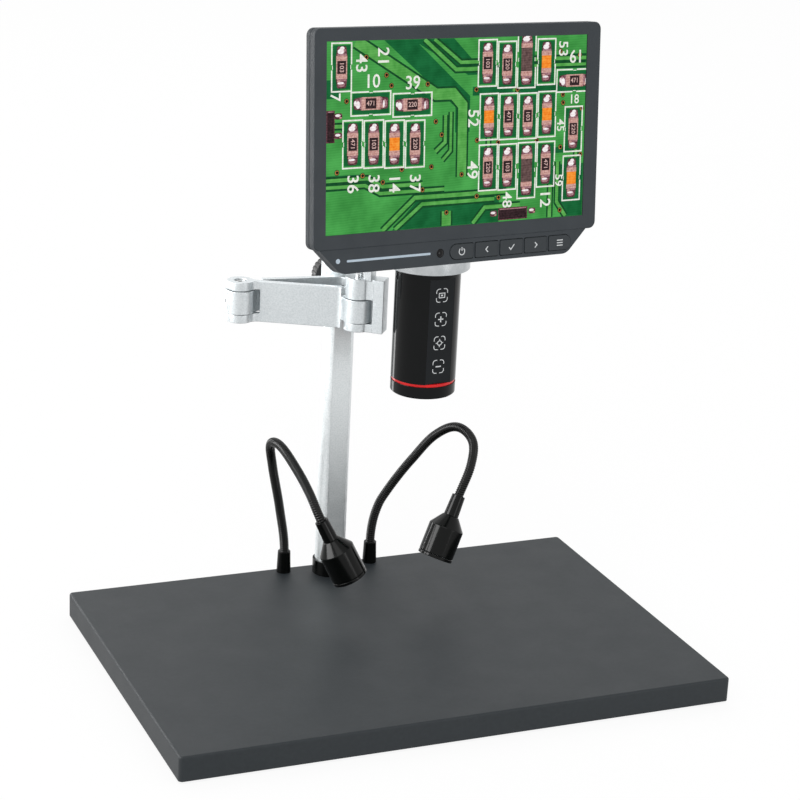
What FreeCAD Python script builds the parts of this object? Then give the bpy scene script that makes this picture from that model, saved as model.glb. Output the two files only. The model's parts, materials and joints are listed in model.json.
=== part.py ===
import FreeCAD, Part
import math
import os
import re
import Sketcher

# LCD digital microscope on a boom stand. Millimetres, +Z up, the front of the base towards -Y.
# The origin is the middle of the whole stand, on the surface that its rubber feet stand on.

V = FreeCAD.Vector
Turn = FreeCAD.Rotation
Place = FreeCAD.Placement

DIMENSIONS = [
    # base
    ("base_width", 400.0, "side to side"),
    ("base_depth", 273.3, "front to back"),
    ("base_height", 17.5, "thickness of the plate"),
    ("base_wall", 2.0, "folded sheet"),
    ("base_corner", 2.8, "upright corners"),
    ("base_edge", 1.6, "rounding of the top edges"),
    ("cover_sheet", 1.5, "underside cover"),
    ("foot_height", 1.5, "rubber feet below the plate"),
    ("foot_radius", 9.0, "rubber feet"),
    ("foot_inset", 26.0, "foot centre from the edges"),
    ("post_radius", 4.0, "screw posts inside the base"),
    ("post_inset", 12.0, "screw post centre from the edges"),
    ("cover_screw_radius", 1.5, "M3"),
    ("cover_screw_length", 8.0, "under its head"),
    # column
    ("column_offset", -1.4, "column axis from the middle, sideways"),
    ("column_rear", 15.65, "column axis before the base's rear edge"),
    ("column_radius", 11.4, "round part of the section"),
    ("column_flat", 9.2, "axis to the flat front face"),
    ("column_wall", 2.0, "extruded tube"),
    ("column_height", 350.0, "above the base"),
    ("collar_radius", 13.0, "foot cup"),
    ("collar_height", 11.2, "foot cup"),
    ("collar_mouth", 12.1, "radius of the open mouth"),
    ("collar_mouth_depth", 3.0, "depth of the open mouth"),
    ("cap_height", 4.0, "column end cap"),
    ("plug_height", 26.0, "threaded plug in the column foot"),
    ("column_bolt_radius", 4.0, "M8"),
    ("bolt_head_radius", 6.5, "M8 head"),
    ("bolt_head_height", 5.3, "M8 head"),
    # gooseneck lamps
    ("socket_side", 35.0, "socket from the middle, sideways"),
    ("socket_rear", 6.65, "socket before the base's rear edge"),
    ("socket_height", 16.7, "socket above the base"),
    ("socket_foot_radius", 5.4, "bottom of the socket"),
    ("socket_top_radius", 4.8, "top of the socket"),
    ("socket_shank_radius", 3.4, "through the base sheet"),
    ("neck_radius", 3.5, "crest of the wound conduit"),
    ("neck_root", 3.05, "root between the turns"),
    ("neck_bore", 1.9, "inside radius"),
    ("neck_pitch", 2.0, "one turn of the conduit"),
    ("neck_seat", 6.0, "length held in the socket and in the sleeve"),
    ("sleeve_length", 15.7, "lamp sleeve"),
    ("sleeve_radius", 4.9, "lamp sleeve, top"),
    ("sleeve_flare", 5.5, "lamp sleeve, bottom"),
    ("head_cone", 9.2, "length of the shoulder"),
    ("head_length", 21.2, "straight part of the head"),
    ("head_radius", 13.0, "outside"),
    ("head_wall", 1.5, "turned shell"),
    ("lamp_ring_height", 2.5, "front ring of the head"),
    ("lens_sheet", 2.0, "lamp lens"),
    ("board_sheet", 1.6, "circuit boards"),
    # carriage and clamp
    ("arm_height", 210.8, "underside of the links above the base"),
    ("carriage_radius", 14.2, "clamp ring round the column"),
    ("carriage_height", 38.6, "clamp ring and bracket"),
    ("hinge_reach", 28.56, "column axis to the column hinge"),
    ("stud_height", 17.7, "clamp stud above the carriage foot"),
    ("stud_radius", 3.0, "M6"),
    ("stud_length", 22.0, "clamp stud"),
    ("pad_radius", 5.0, "clamp pad"),
    ("pad_sheet", 2.4, "clamp pad"),
    ("knob_radius", 13.5, "clamp knob"),
    ("knob_thickness", 8.5, "clamp knob"),
    ("knob_hub", 1.2, "clamp knob's raised middle"),
    ("boss_reach", 15.6, "column axis to the boss for the clamp stud"),
    ("knob_ribs", 24, "grip ribs round the knob"),
    # links
    ("link_length", 84.2, "between the pins"),
    ("link_height", 29.6, "links"),
    ("link_front", 0.8, "pin line to the front face"),
    ("link_back", 4.0, "pin line to the back face"),
    ("ear_height", 6.1, "fork ears"),
    ("ear_gap", 0.3, "between an ear and a knuckle"),
    ("knuckle_radius", 9.5, "ears"),
    ("tongue_radius", 10.6, "knuckles between the ears"),
    ("knuckle_blend", 6.0, "hollow rounding from a knuckle to the panel"),
    ("fork_depth", 14.4, "pin to the end of the fork's gap"),
    ("front_end_gap", 11.8, "wrist pin to the full-height panel"),
    ("rear_end_gap", 15.5, "elbow pin to the full-height panel"),
    ("pin_radius", 2.5, "hinge pins"),
    ("pin_head_radius", 4.1, "hinge pin heads"),
    ("pin_head_height", 2.2, "hinge pin heads"),
    ("head_recess", 3.2, "counterbore for a pin head"),
    ("grub_radius", 1.5, "M3 set screw"),
    ("rear_link_angle", 173.75, "direction from the column hinge to the elbow"),
    ("front_link_angle", -28.67, "direction from the elbow to the wrist"),
    # wrist bracket and holder
    ("holder_angle", -37.9, "direction from the wrist to the scope"),
    ("holder_reach", 49.95, "wrist pin to the scope axis"),
    ("block_near", 12.6, "wrist pin to the upright block"),
    ("block_far", 20.2, "wrist pin to the block's far face"),
    ("block_half_depth", 6.2, "half the block's depth"),
    ("upright_near", 5.3, "wrist pin to the upright plate"),
    ("upright_far", 10.8, "wrist pin to the upright plate's far face"),
    ("post_stem_radius", 2.85, "upper part of the wrist pin"),
    ("ring_lift", 49.7, "holder ring above the links' underside"),
    ("ring_height", 8.8, "holder ring"),
    ("ring_step", 2.7, "holder ring above its bar's underside"),
    ("ring_radius", 29.0, "holder ring"),
    ("arm_bar_height", 8.0, "bar of the holder ring"),
    ("arm_bar_half", 6.5, "half the bar's width"),
    ("thumb_angle", 135.0, "thumbscrew's direction from the ring"),
    ("thumb_radius", 2.0, "M4 thumbscrew"),
    ("thumb_knob_radius", 6.5, "thumbscrew knob"),
    ("thumb_knob_length", 8.0, "thumbscrew knob"),
    ("holder_screw_radius", 1.5, "M3"),
    # scope
    ("scope_drop", 38.7, "scope's lower end below the links' underside"),
    ("scope_turn", 11.85, "yaw of the scope and display"),
    ("tube_radius", 23.0, "scope tube"),
    ("tube_bore", 18.5, "scope tube"),
    ("tube_length", 121.6, "scope tube"),
    ("front_ring_height", 8.8, "below the red ring"),
    ("accent_height", 2.0, "red ring"),
    ("accent_radius", 22.4, "red ring"),
    ("flat_distance", 20.7, "scope axis to the touch panel's face"),
    ("panel_sheet", 1.2, "touch panel"),
    ("panel_turn", -6.0, "touch panel from the display's direction"),
    ("panel_length", 76.0, "touch panel"),
    ("barrel_radius", 10.0, "lens barrel"),
    ("barrel_wall", 1.4, "lens barrel"),
    ("barrel_length", 62.0, "lens barrel"),
    ("flange_sheet", 2.0, "lens barrel's flange"),
    ("cell_length", 12.0, "focus cell"),
    ("cell_start", 34.0, "focus cell above the scope's lower end"),
    ("lens_radius", 7.6, "lenses"),
    ("diffuser_sheet", 1.5, "light diffuser"),
    ("ring_board_lift", 4.4, "LED ring board above the scope's lower end"),
    ("sensor_gap", 3.0, "barrel's top to the sensor board"),
    ("sensor_half", 8.0, "half the sensor's width"),
    ("scope_cap_height", 5.0, "scope cap"),
    ("cap_plug", 5.0, "scope cap's spigot in the tube"),
    # display
    ("tilt_lift", 157.4, "tilt axis above the scope's lower end"),
    ("tilt_side", 2.5, "tilt axis middle from the picture's middle"),
    ("tilt_depth", 34.4, "tilt axis behind the display's face"),
    ("tilt_rise", 42.2, "tilt axis above the frame's lower edge"),
    ("display_lean", 6.25, "leaning back"),
    ("display_roll", -2.01, "turn in its own plane"),
    ("active_width", 213.8, "picture"),
    ("active_height", 125.6, "picture"),
    ("bezel_left", 9.2, "frame beside the picture"),
    ("bezel_right", 11.8, "frame beside the picture"),
    ("bezel_top", 8.5, "frame above the picture"),
    ("bezel_bottom", 9.7, "frame below the picture"),
    ("bezel_corner", 5.0, "frame corners"),
    ("bezel_depth", 6.0, "front frame"),
    ("bezel_wall", 2.0, "front frame"),
    ("display_depth", 10.5, "frame and back edge together"),
    ("chin_height", 16.5, "key bar below the frame"),
    ("chin_inset", 5.0, "key bar's left end from the frame's"),
    ("chin_inset_right", 8.3, "key bar's right end from the frame's"),
    ("chin_corner", 10.0, "key bar's corners"),
    ("chin_setback", 0.5, "key bar behind the frame's face"),
    ("panel_recess", 0.9, "picture behind the frame's face"),
    ("panel_depth", 3.6, "LCD panel"),
    ("panel_edge", 3.0, "LCD panel beyond the picture"),
    ("key_width", 19.3, "keys"),
    ("key_height", 10.4, "keys"),
    ("key_pitch", 21.1, "keys"),
    ("key_inset", 31.4, "last key's middle from the frame's right edge"),
    ("key_drop", 8.3, "keys' middle below the frame"),
    ("key_proud", 0.6, "keys in front of the key bar"),
    ("key_travel", 0.8, "keys"),
    ("key_gap", 0.35, "round each key"),
    ("light_inset", 26.1, "white line's start from the frame's left edge"),
    ("light_length", 67.3, "white line"),
    ("light_half", 0.85, "half the white line's height"),
    ("light_rise", 0.2, "white line above the keys' middle"),
    ("status_inset", 19.3, "white dot from the frame's left edge"),
    ("status_rise", 0.6, "white dot above the keys' middle"),
    ("status_radius", 1.7, "white dot"),
    ("window_inset", 101.4, "infrared window from the frame's left edge"),
    ("window_radius", 3.0, "infrared window"),
    ("bulge_side", 20.9, "picture's edge to the raised back, at the sides"),
    ("bulge_foot", 22.8, "picture's edge to the raised back, below"),
    ("bulge_head", 6.8, "picture's edge to the raised back, above"),
    ("bulge_corner", 10.0, "raised back's corners"),
    ("board_margin", 35.0, "main board from the picture's edges, sideways"),
    ("board_half", 35.0, "half the main board's height"),
    ("board_lift", 6.0, "main board behind the front frame"),
    ("port_width", 14.0, "sockets on the main board"),
    ("port_depth", 5.0, "sockets on the main board"),
    ("port_length", 12.0, "sockets on the main board"),
    ("port_side", 37.0, "first socket's middle from the picture's middle"),
    ("port_pitch", 20.0, "sockets on the main board"),
    ("slot_length", 60.0, "vents"),
    ("slot_width", 1.6, "vents"),
    ("slot_pitch", 5.0, "vents"),
    ("slot_side", 15.0, "vents from the picture's middle"),
    ("slot_drop", 22.0, "first vent below the raised back's top"),
    ("plate_half", 22.0, "half the hinge plate's width"),
    ("plate_height", 30.0, "hinge plate"),
    ("plate_foot", 8.0, "hinge plate below the tilt axis"),
    ("bulge_depth", 21.0, "face to the raised back"),
    ("back_wall", 2.0, "back cover"),
    ("hinge_plate", 3.0, "tilt hinge's plate"),
    ("hinge_barrel", 6.0, "tilt hinge's barrel radius"),
    ("hinge_half", 7.5, "half the tilt barrel's length"),
    ("hinge_cheek", 4.0, "cheeks on the scope cap"),
    # fits
    ("seat_gap", 0.05, "between pieces that are fixed together"),
    ("run_gap", 0.08, "between pieces that turn or slide in each other"),
    ("free_gap", 0.5, "between pieces that pass each other"),
]

# Gooseneck routes: points above the middle of the socket's top, chosen from the photograph.
NECK_RIGHT = [(0, 0, 0), (1.3, -0.7, 17.3), (4.9, -2.7, 32), (9.4, -5.2, 41.8), (17.3, -10.7, 57.4),
              (24.2, -16.5, 70.4), (35.9, -31.5, 94.1), (45.1, -50.5, 105.9), (49.4, -68.5, 100.8),
              (44.1, -80, 87.4), (32.8, -86, 66)]
NECK_LEFT = [(0, 0, 0), (-4.6, 0, 34.3), (-13.8, -6, 72.8), (-20.4, -20, 94.9), (-20.5, -40, 100.2),
             (-16.5, -67, 89.9), (-12.5, -82, 77.8), (-6.7, -92, 60.2)]
LAMP_AIM_RIGHT = (-0.414, -0.149, -0.898)
LAMP_AIM_LEFT = (0.431, -0.154, -0.889)

doc = FreeCAD.newDocument("microscope")
sheet = doc.addObject("Spreadsheet::Sheet", "dims")
for row, (alias, value, note) in enumerate(DIMENSIONS, start=1):
    sheet.set("A%d" % row, alias)
    sheet.set("B%d" % row, str(value))
    sheet.set("C%d" % row, note)
    sheet.setAlias("B%d" % row, alias)
doc.recompute()


class Sizes:
    """The sheet's cells as plain numbers, for places that are worked out in code."""

    def __getattr__(self, alias):
        return float(sheet.get(alias))


d = Sizes()
nodes = []


def bind(obj, prop, formula):
    """Ties a property to the sheet: names in the formula are the sheet's aliases."""
    obj.setExpression(prop, re.sub(r"[a-z][a-z_]*", lambda word: "dims." + word.group(0), str(formula)))


def locate(obj, at, along):
    turns = {"z": Turn(), "y": Turn(V(1, 0, 0), -90), "x": Turn(V(0, 1, 0), 90),
             "-y": Turn(V(1, 0, 0), 90)}
    obj.Placement = Place(V(0, 0, 0), turns[along])
    for axis, formula in zip("xyz", at):
        bind(obj, "Placement.Base." + axis, formula)
    return obj


def box(length, width, height, at=(0, 0, 0)):
    obj = doc.addObject("Part::Box", "Box")
    bind(obj, "Length", length)
    bind(obj, "Width", width)
    bind(obj, "Height", height)
    return locate(obj, at, "z")


def rod(radius, height, at=(0, 0, 0), along="z"):
    obj = doc.addObject("Part::Cylinder", "Cylinder")
    bind(obj, "Radius", radius)
    bind(obj, "Height", height)
    return locate(obj, at, along)


def cone(foot, top, height, at=(0, 0, 0), along="z"):
    obj = doc.addObject("Part::Cone", "Cone")
    bind(obj, "Radius1", foot)
    bind(obj, "Radius2", top)
    bind(obj, "Height", height)
    return locate(obj, at, along)


def hexagon(across, height, at=(0, 0, 0), along="z"):
    obj = doc.addObject("Part::Prism", "Prism")
    obj.Polygon = 6
    bind(obj, "Circumradius", across)
    bind(obj, "Height", height)
    return locate(obj, at, along)


def join(*pieces):
    if len(pieces) == 1:
        return pieces[0]
    obj = doc.addObject("Part::MultiFuse", "Fusion")
    obj.Shapes = list(pieces)
    obj.Refine = True
    return obj


def cut(base, *tools):
    obj = doc.addObject("Part::Cut", "Cut")
    obj.Base = base
    obj.Tool = join(*tools)
    return obj


def shared(first, second):
    obj = doc.addObject("Part::Common", "Common")
    obj.Base = first
    obj.Tool = second
    return obj


def group(*pieces):
    """Separate solids kept side by side in one node."""
    obj = doc.addObject("Part::Compound", "Group")
    obj.Links = list(pieces)
    return obj


def rounded(points, radii):
    """Lines and tangent arcs round a polygon: its corners, and a radius for each."""
    corners = [V(x, y, 0) for x, y in points]
    ends = []
    arcs = []
    for i, corner in enumerate(corners):
        before = (corners[i - 1] - corner).normalize()
        after = (corners[(i + 1) % len(corners)] - corner).normalize()
        if radii[i] <= 0:
            ends.append((corner, corner))
            continue
        half = before.getAngle(after) / 2
        reach = radii[i] / math.tan(half)
        middle = (before + after).normalize()
        tip = corner + middle * (radii[i] / math.sin(half) - radii[i])
        ends.append((corner + before * reach, corner + after * reach))
        arcs.append(Part.Arc(corner + before * reach, tip, corner + after * reach))
    lines = []
    for i in range(len(corners)):
        start = ends[i][1]
        finish = ends[(i + 1) % len(corners)][0]
        if start.distanceToPoint(finish) > 1e-6:
            lines.append(Part.LineSegment(start, finish))
    return lines + arcs


def slab(outline, start, depth, face="front"):
    """A sketch of one closed outline, padded. front: along +Y from a plane of X and Z; flat: along +Z."""
    sketch = doc.addObject("Sketcher::SketchObject", "Outline")
    sketch.addGeometry(outline, False)
    obj = doc.addObject("Part::Extrusion", "Slab")
    obj.Base = sketch
    obj.DirMode = "Custom"
    obj.Solid = True
    if face == "front":
        sketch.Placement = Place(V(0, 0, 0), Turn(V(1, 0, 0), 90))
        obj.Dir = V(0, 1, 0)
        bind(sketch, "Placement.Base.y", start)
    else:
        obj.Dir = V(0, 0, 1)
        bind(sketch, "Placement.Base.z", start)
    bind(obj, "LengthFwd", depth)
    return obj


def oblong(low_x, low_y, high_x, high_y, radius):
    return rounded([(low_x, low_y), (high_x, low_y), (high_x, high_y), (low_x, high_y)], [radius] * 4)


def origin_plane(body, role):
    return [f for f in body.Origin.OriginFeatures if f.Role == role][0]


def new_sketch(body, role="XY_Plane"):
    sketch = body.newObject("Sketcher::SketchObject", "Sketch")
    sketch.AttachmentSupport = (origin_plane(body, role), [""])
    sketch.MapMode = "FlatFace"
    return sketch


def finish(obj, node, frame=Place()):
    """Names a sub-part and stands it in the assembly."""
    if any("Placement" in path for path, formula in obj.ExpressionEngine):
        obj = group(obj)
    obj.Label = node
    obj.Placement = stand_frame.multiply(frame).multiply(obj.Placement)
    nodes.append(obj)
    return obj


# Places that several groups share. The knob stands out behind the base, so the base sits half of
# that overhang forward of the origin.
column_back = d.base_depth / 2 - d.column_rear
socket_back = d.base_depth / 2 - d.socket_rear
tilt_drop = d.active_height / 2 + d.bezel_bottom - d.tilt_rise
COLUMN_LINE = "(base_depth / 2 - column_rear)"
SOCKET_LINE = "(base_depth / 2 - socket_rear)"
TILT_LINE = "(tilt_rise - active_height / 2 - bezel_bottom)"
knob_back = column_back + d.boss_reach + d.free_gap + d.knob_thickness + d.knob_hub
stand_frame = Place(V(0, -max(0, knob_back - d.base_depth / 2) / 2, 0), Turn())
base_top = d.foot_height + d.base_height
arm_foot = base_top + d.arm_height
column_frame = Place(V(d.column_offset, column_back, arm_foot), Turn())
hinge_spot = V(d.column_offset, column_back - d.hinge_reach, arm_foot)
rear_frame = Place(hinge_spot, Turn(V(0, 0, 1), d.rear_link_angle))
elbow_spot = rear_frame.multVec(V(d.link_length, 0, 0))
front_frame = Place(elbow_spot, Turn(V(0, 0, 1), d.front_link_angle))
wrist_spot = front_frame.multVec(V(d.link_length, 0, 0))
holder_frame = Place(wrist_spot, Turn(V(0, 0, 1), d.holder_angle))
scope_spot = holder_frame.multVec(V(d.holder_reach, 0, -d.scope_drop))
scope_frame = Place(scope_spot, Turn(V(0, 0, 1), d.scope_turn))
panel_frame = Place(scope_spot, Turn(V(0, 0, 1), d.scope_turn + d.panel_turn))
display_turn = Turn(V(0, 0, 1), d.scope_turn).multiply(Turn(V(1, 0, 0), -d.display_lean))
display_turn = display_turn.multiply(Turn(V(0, 1, 0), -d.display_roll))
tilt_spot = scope_spot + V(0, 0, d.tilt_lift)
display_spot = tilt_spot - display_turn.multVec(V(d.tilt_side, d.tilt_depth, -tilt_drop))
display_frame = Place(display_spot, display_turn)


# Base: a folded steel plate with a screwed underside cover
def make_base():
    body = doc.addObject("PartDesign::Body", "BasePlate")
    outline = new_sketch(body)
    half = V(d.base_width / 2, d.base_depth / 2, 0)
    points = [V(-half.x, -half.y, 0), V(half.x, -half.y, 0), V(half.x, half.y, 0), V(-half.x, half.y, 0)]
    for i in range(4):
        outline.addGeometry(Part.LineSegment(points[i], points[(i + 1) % 4]), False)
    for i in range(4):
        outline.addConstraint(Sketcher.Constraint("Coincident", i, 2, (i + 1) % 4, 1))
    outline.addConstraint(Sketcher.Constraint("Horizontal", 0))
    outline.addConstraint(Sketcher.Constraint("Horizontal", 2))
    outline.addConstraint(Sketcher.Constraint("Vertical", 1))
    outline.addConstraint(Sketcher.Constraint("Vertical", 3))
    outline.addConstraint(Sketcher.Constraint("Symmetric", 0, 1, 2, 1, -1, 1))
    wide = outline.addConstraint(Sketcher.Constraint("DistanceX", 0, 1, 0, 2, d.base_width))
    deep = outline.addConstraint(Sketcher.Constraint("DistanceY", 1, 1, 1, 2, d.base_depth))
    bind(outline, "Constraints[%d]" % wide, "base_width")
    bind(outline, "Constraints[%d]" % deep, "base_depth")
    pad = body.newObject("PartDesign::Pad", "Pad")
    pad.Profile = outline
    bind(pad, "Length", "base_height")
    doc.recompute()
    upright = ["Edge%d" % (i + 1) for i, e in enumerate(pad.Shape.Edges)
               if abs(e.Vertexes[0].Z - e.Vertexes[-1].Z) > 1]
    corners = body.newObject("PartDesign::Fillet", "Corners")
    corners.Base = (pad, upright)
    bind(corners, "Radius", "base_corner")
    doc.recompute()
    rim = ["Edge%d" % (i + 1) for i, e in enumerate(corners.Shape.Edges)
           if min(v.Z for v in e.Vertexes) > d.base_height - 0.01]
    edges = body.newObject("PartDesign::Fillet", "TopEdges")
    edges.Base = (corners, rim)
    bind(edges, "Radius", "base_edge")
    body.Tip = edges
    bind(body, "Placement.Base.z", "foot_height")
    hollow = box("base_width - 2 * base_wall", "base_depth - 2 * base_wall", "base_height - base_wall",
                 ("base_wall - base_width / 2", "base_wall - base_depth / 2", "foot_height"))
    side = "base_width / 2 - post_inset"
    back = "base_depth / 2 - post_inset"
    spots = [("%s(%s)" % (i, side), "%s(%s)" % (j, back)) for i in ("-", "") for j in ("-", "")]
    spots += [("0", "-(%s)" % back), ("0", "%s - 38" % back)]
    posts = []
    threads = []
    screws = []
    sinks = []
    for x, y in spots:
        posts.append(rod("post_radius", "base_height - cover_sheet - base_wall / 2",
                         (x, y, "foot_height + cover_sheet")))
        threads.append(rod("cover_screw_radius + seat_gap", "cover_screw_length + 1", (x, y, "foot_height")))
        head = cone("2 * cover_screw_radius", "cover_screw_radius", "cover_sheet", (x, y, "foot_height"))
        slot = box("cover_screw_radius * 2.4", "0.5", "0.6",
                   ("%s - cover_screw_radius * 1.2" % x, "%s - 0.25" % y, "foot_height"))
        shank = rod("cover_screw_radius", "cover_screw_length", (x, y, "foot_height"))
        screws.append(cut(join(head, shank), slot))
        sinks.append(cone("2 * cover_screw_radius + seat_gap", "cover_screw_radius + seat_gap", "cover_sheet",
                          (x, y, "foot_height")))
    bolt_hole = rod("column_bolt_radius + seat_gap", "base_wall * 2",
                    ("column_offset", COLUMN_LINE, "foot_height + base_height - base_wall * 1.5"))
    shank_holes = [rod("socket_shank_radius + seat_gap", "base_wall * 2",
                       (side_of + "socket_side", SOCKET_LINE, "foot_height + base_height - base_wall * 1.5"))
                   for side_of in ("-", "")]
    jack_hole = box("9.2", "base_wall * 2", "6.2",
                    ("55.4", "base_depth / 2 - base_wall * 1.5", "foot_height + cover_sheet + 3.9"))
    shell = cut(body, hollow)
    finish(cut(join(shell, *posts), bolt_hole, jack_hole, *(threads + shank_holes)), "base_pan")
    cover = box("base_width - 2 * (base_wall + seat_gap)", "base_depth - 2 * (base_wall + seat_gap)", "cover_sheet",
                ("base_wall + seat_gap - base_width / 2", "base_wall + seat_gap - base_depth / 2", "foot_height"))
    finish(cut(cover, *sinks), "base_cover")
    finish(group(*screws), "cover_screws")
    feet = [rod("foot_radius", "foot_height", ("%s(base_width / 2 - foot_inset)" % i,
                                              "%s(base_depth / 2 - foot_inset)" % j, "0"))
            for i in ("-", "") for j in ("-", "")]
    finish(group(*feet), "base_feet")
    jack = join(box("13", "10", "8.5", ("53.5", "base_depth / 2 - base_wall - 10", "foot_height + cover_sheet + 2.5")),
                box("9", "base_wall + 1", "6", ("55.5", "base_depth / 2 - base_wall - 1", "foot_height + cover_sheet + 4")))
    socket = rod("2.1", "9", ("60", "base_depth / 2 + 0.1 - 9", "foot_height + cover_sheet + 7"), "y")
    finish(cut(jack, socket), "lamp_power_jack")


# Column: a D-section aluminium tube, bolted from below through a threaded plug, in a foot cup
def d_section(body, radius, flat):
    sketch = new_sketch(body)
    start = math.radians(-40)
    end = math.radians(220)
    sketch.addGeometry(Part.ArcOfCircle(Part.Circle(V(0, 0, 0), V(0, 0, 1), 10), start, end), False)
    sketch.addGeometry(Part.LineSegment(V(10 * math.cos(end), 10 * math.sin(end), 0),
                                        V(10 * math.cos(start), 10 * math.sin(start), 0)), False)
    sketch.addConstraint(Sketcher.Constraint("Coincident", 0, 3, -1, 1))
    sketch.addConstraint(Sketcher.Constraint("Coincident", 0, 2, 1, 1))
    sketch.addConstraint(Sketcher.Constraint("Coincident", 0, 1, 1, 2))
    sketch.addConstraint(Sketcher.Constraint("Horizontal", 1))
    size = sketch.addConstraint(Sketcher.Constraint("Radius", 0, 10))
    reach = sketch.addConstraint(Sketcher.Constraint("DistanceY", 1, 1, -1, 1, 8))
    bind(sketch, "Constraints[%d]" % size, radius)
    bind(sketch, "Constraints[%d]" % reach, flat)
    return sketch


def d_bar(radius, flat, height, at):
    body = doc.addObject("PartDesign::Body", "DBar")
    pad = body.newObject("PartDesign::Pad", "Pad")
    pad.Profile = d_section(body, radius, flat)
    bind(pad, "Length", height)
    body.Tip = pad
    return locate(body, at, "z")


def make_column():
    foot = ("column_offset", COLUMN_LINE, "foot_height + base_height")
    top = "foot_height + base_height + column_height"
    outer = d_bar("column_radius", "column_flat", "column_height", foot)
    inner = d_bar("column_radius - column_wall", "column_flat - column_wall", "column_height", foot)
    finish(cut(outer, inner), "column")
    plug = d_bar("column_radius - column_wall - seat_gap", "column_flat - column_wall - seat_gap",
                 "plug_height", foot)
    finish(cut(plug, rod("column_bolt_radius + seat_gap", "plug_height", foot)), "column_plug")
    under = ("column_offset", COLUMN_LINE, "foot_height + base_height - base_wall - bolt_head_height")
    bolt = join(hexagon("bolt_head_radius", "bolt_head_height", under),
                rod("column_bolt_radius", "bolt_head_height + base_wall + plug_height - 4", under))
    finish(bolt, "column_bolt")
    cup = rod("collar_radius", "collar_height", foot)
    bore = rod("column_radius + seat_gap", "collar_height", foot)
    mouth = rod("collar_mouth", "collar_mouth_depth",
                ("column_offset", COLUMN_LINE, "foot_height + base_height + collar_height - collar_mouth_depth"))
    finish(cut(cup, bore, mouth), "column_collar")
    cap = join(d_bar("column_radius", "column_flat", "cap_height", ("column_offset", COLUMN_LINE, top)),
               d_bar("column_radius - column_wall - seat_gap", "column_flat - column_wall - seat_gap", "10",
                     ("column_offset", COLUMN_LINE, top + " - 10")))
    finish(cap, "column_cap")


# Gooseneck lamps
def neck_line(side, points, aim):
    """The neck's centre line as a smooth curve, upright in the socket and aimed at the lamp."""
    foot = V(side * d.socket_side, socket_back, base_top + d.socket_height)
    curve = Part.BSplineCurve()
    curve.interpolate(Points=[foot + V(*p) for p in points], InitialTangent=V(0, 0, 1),
                      FinalTangent=V(*aim))
    return curve


def ring_wire(point, direction, radius, steady):
    across = direction.cross(steady).cross(direction)
    turn = Turn(across, direction.cross(across), direction, "ZXY")
    circle = Part.makeCircle(radius)
    circle.Placement = Place(point, turn)
    return Part.Wire(circle)


def make_neck(node, side, points, aim):
    curve = neck_line(side, points, aim)
    first = curve.FirstParameter
    last = curve.LastParameter
    length = curve.length(first, last)
    ribs = int(round(length / d.neck_pitch))
    pitch = length / ribs
    steady = V(1, 0, 0)
    begin = curve.value(first)
    stop = curve.value(last)
    up = V(0, 0, 1)
    out = V(*aim).normalize()
    outer = [ring_wire(begin - up * d.neck_seat, up, d.neck_root, steady)]
    inner = [ring_wire(begin - up * d.neck_seat, up, d.neck_bore, steady)]
    for rib in range(ribs):
        for share, radius in ((0.0, d.neck_root), (0.25, d.neck_radius), (0.65, d.neck_radius), (0.9, d.neck_root)):
            at = curve.parameterAtDistance((rib + share) * pitch, first)
            outer.append(ring_wire(curve.value(at), V(*curve.tangent(at)[0]), radius, steady))
            if share == 0.0:
                inner.append(ring_wire(curve.value(at), V(*curve.tangent(at)[0]), d.neck_bore, steady))
    outer.append(ring_wire(stop, out, d.neck_root, steady))
    inner.append(ring_wire(stop, out, d.neck_bore, steady))
    outer.append(ring_wire(stop + out * d.neck_seat, out, d.neck_root, steady))
    inner.append(ring_wire(stop + out * d.neck_seat, out, d.neck_bore, steady))
    obj = doc.addObject("Part::Feature", "Neck")
    obj.Shape = Part.makeLoft(outer, True, True).cut(Part.makeLoft(inner, True, True))
    return finish(obj, node)


def make_lamp(name, side, points, aim):
    make_neck("neck_" + name, side, points, aim)
    curve = neck_line(side, points, aim)
    frame = Place(curve.value(curve.LastParameter), Turn(V(0, 0, 1), V(*aim)))
    root = "neck_root + seat_gap"
    sleeve = cut(cone("sleeve_radius", "sleeve_flare", "sleeve_length"), rod(root, "neck_seat + 0.1"),
                 rod("neck_bore", "sleeve_length"))
    finish(sleeve, "lamp_sleeve_" + name, frame)
    lift = "sleeve_length"
    shell = join(cone("sleeve_flare + 0.6", "head_radius", "head_cone", (0, 0, lift)),
                 rod("head_radius", "head_length", (0, 0, lift + " + head_cone")))
    room = join(cone("sleeve_flare - head_wall", "head_radius - head_wall", "head_cone - head_wall",
                     (0, 0, lift + " + head_wall")),
                rod("head_radius - head_wall", "head_length", (0, 0, lift + " + head_cone")))
    finish(cut(shell, room, rod("neck_bore", "head_wall * 2", (0, 0, lift))), "lamp_head_" + name, frame)
    end = lift + " + head_cone + head_length"
    ring = cut(rod("head_radius", "lamp_ring_height", (0, 0, end)),
               rod("head_radius - head_wall - 0.4", "lamp_ring_height", (0, 0, end)))
    finish(ring, "lamp_ring_" + name, frame)
    lens = join(rod("head_radius - head_wall - seat_gap", "lens_sheet", (0, 0, end + " - lens_sheet")),
                cone("head_radius - head_wall - 1.2", "head_radius - head_wall - 2.4", "1", (0, 0, end)))
    finish(lens, "lamp_lens_" + name, frame)
    board = rod("head_radius - head_wall - seat_gap", "board_sheet", (0, 0, end + " - lens_sheet - 6"))
    chip = cone("2.6", "2", "1.4", (0, 0, end + " - lens_sheet - 6 + board_sheet"))
    finish(join(board, chip), "lamp_led_" + name, frame)


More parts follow.
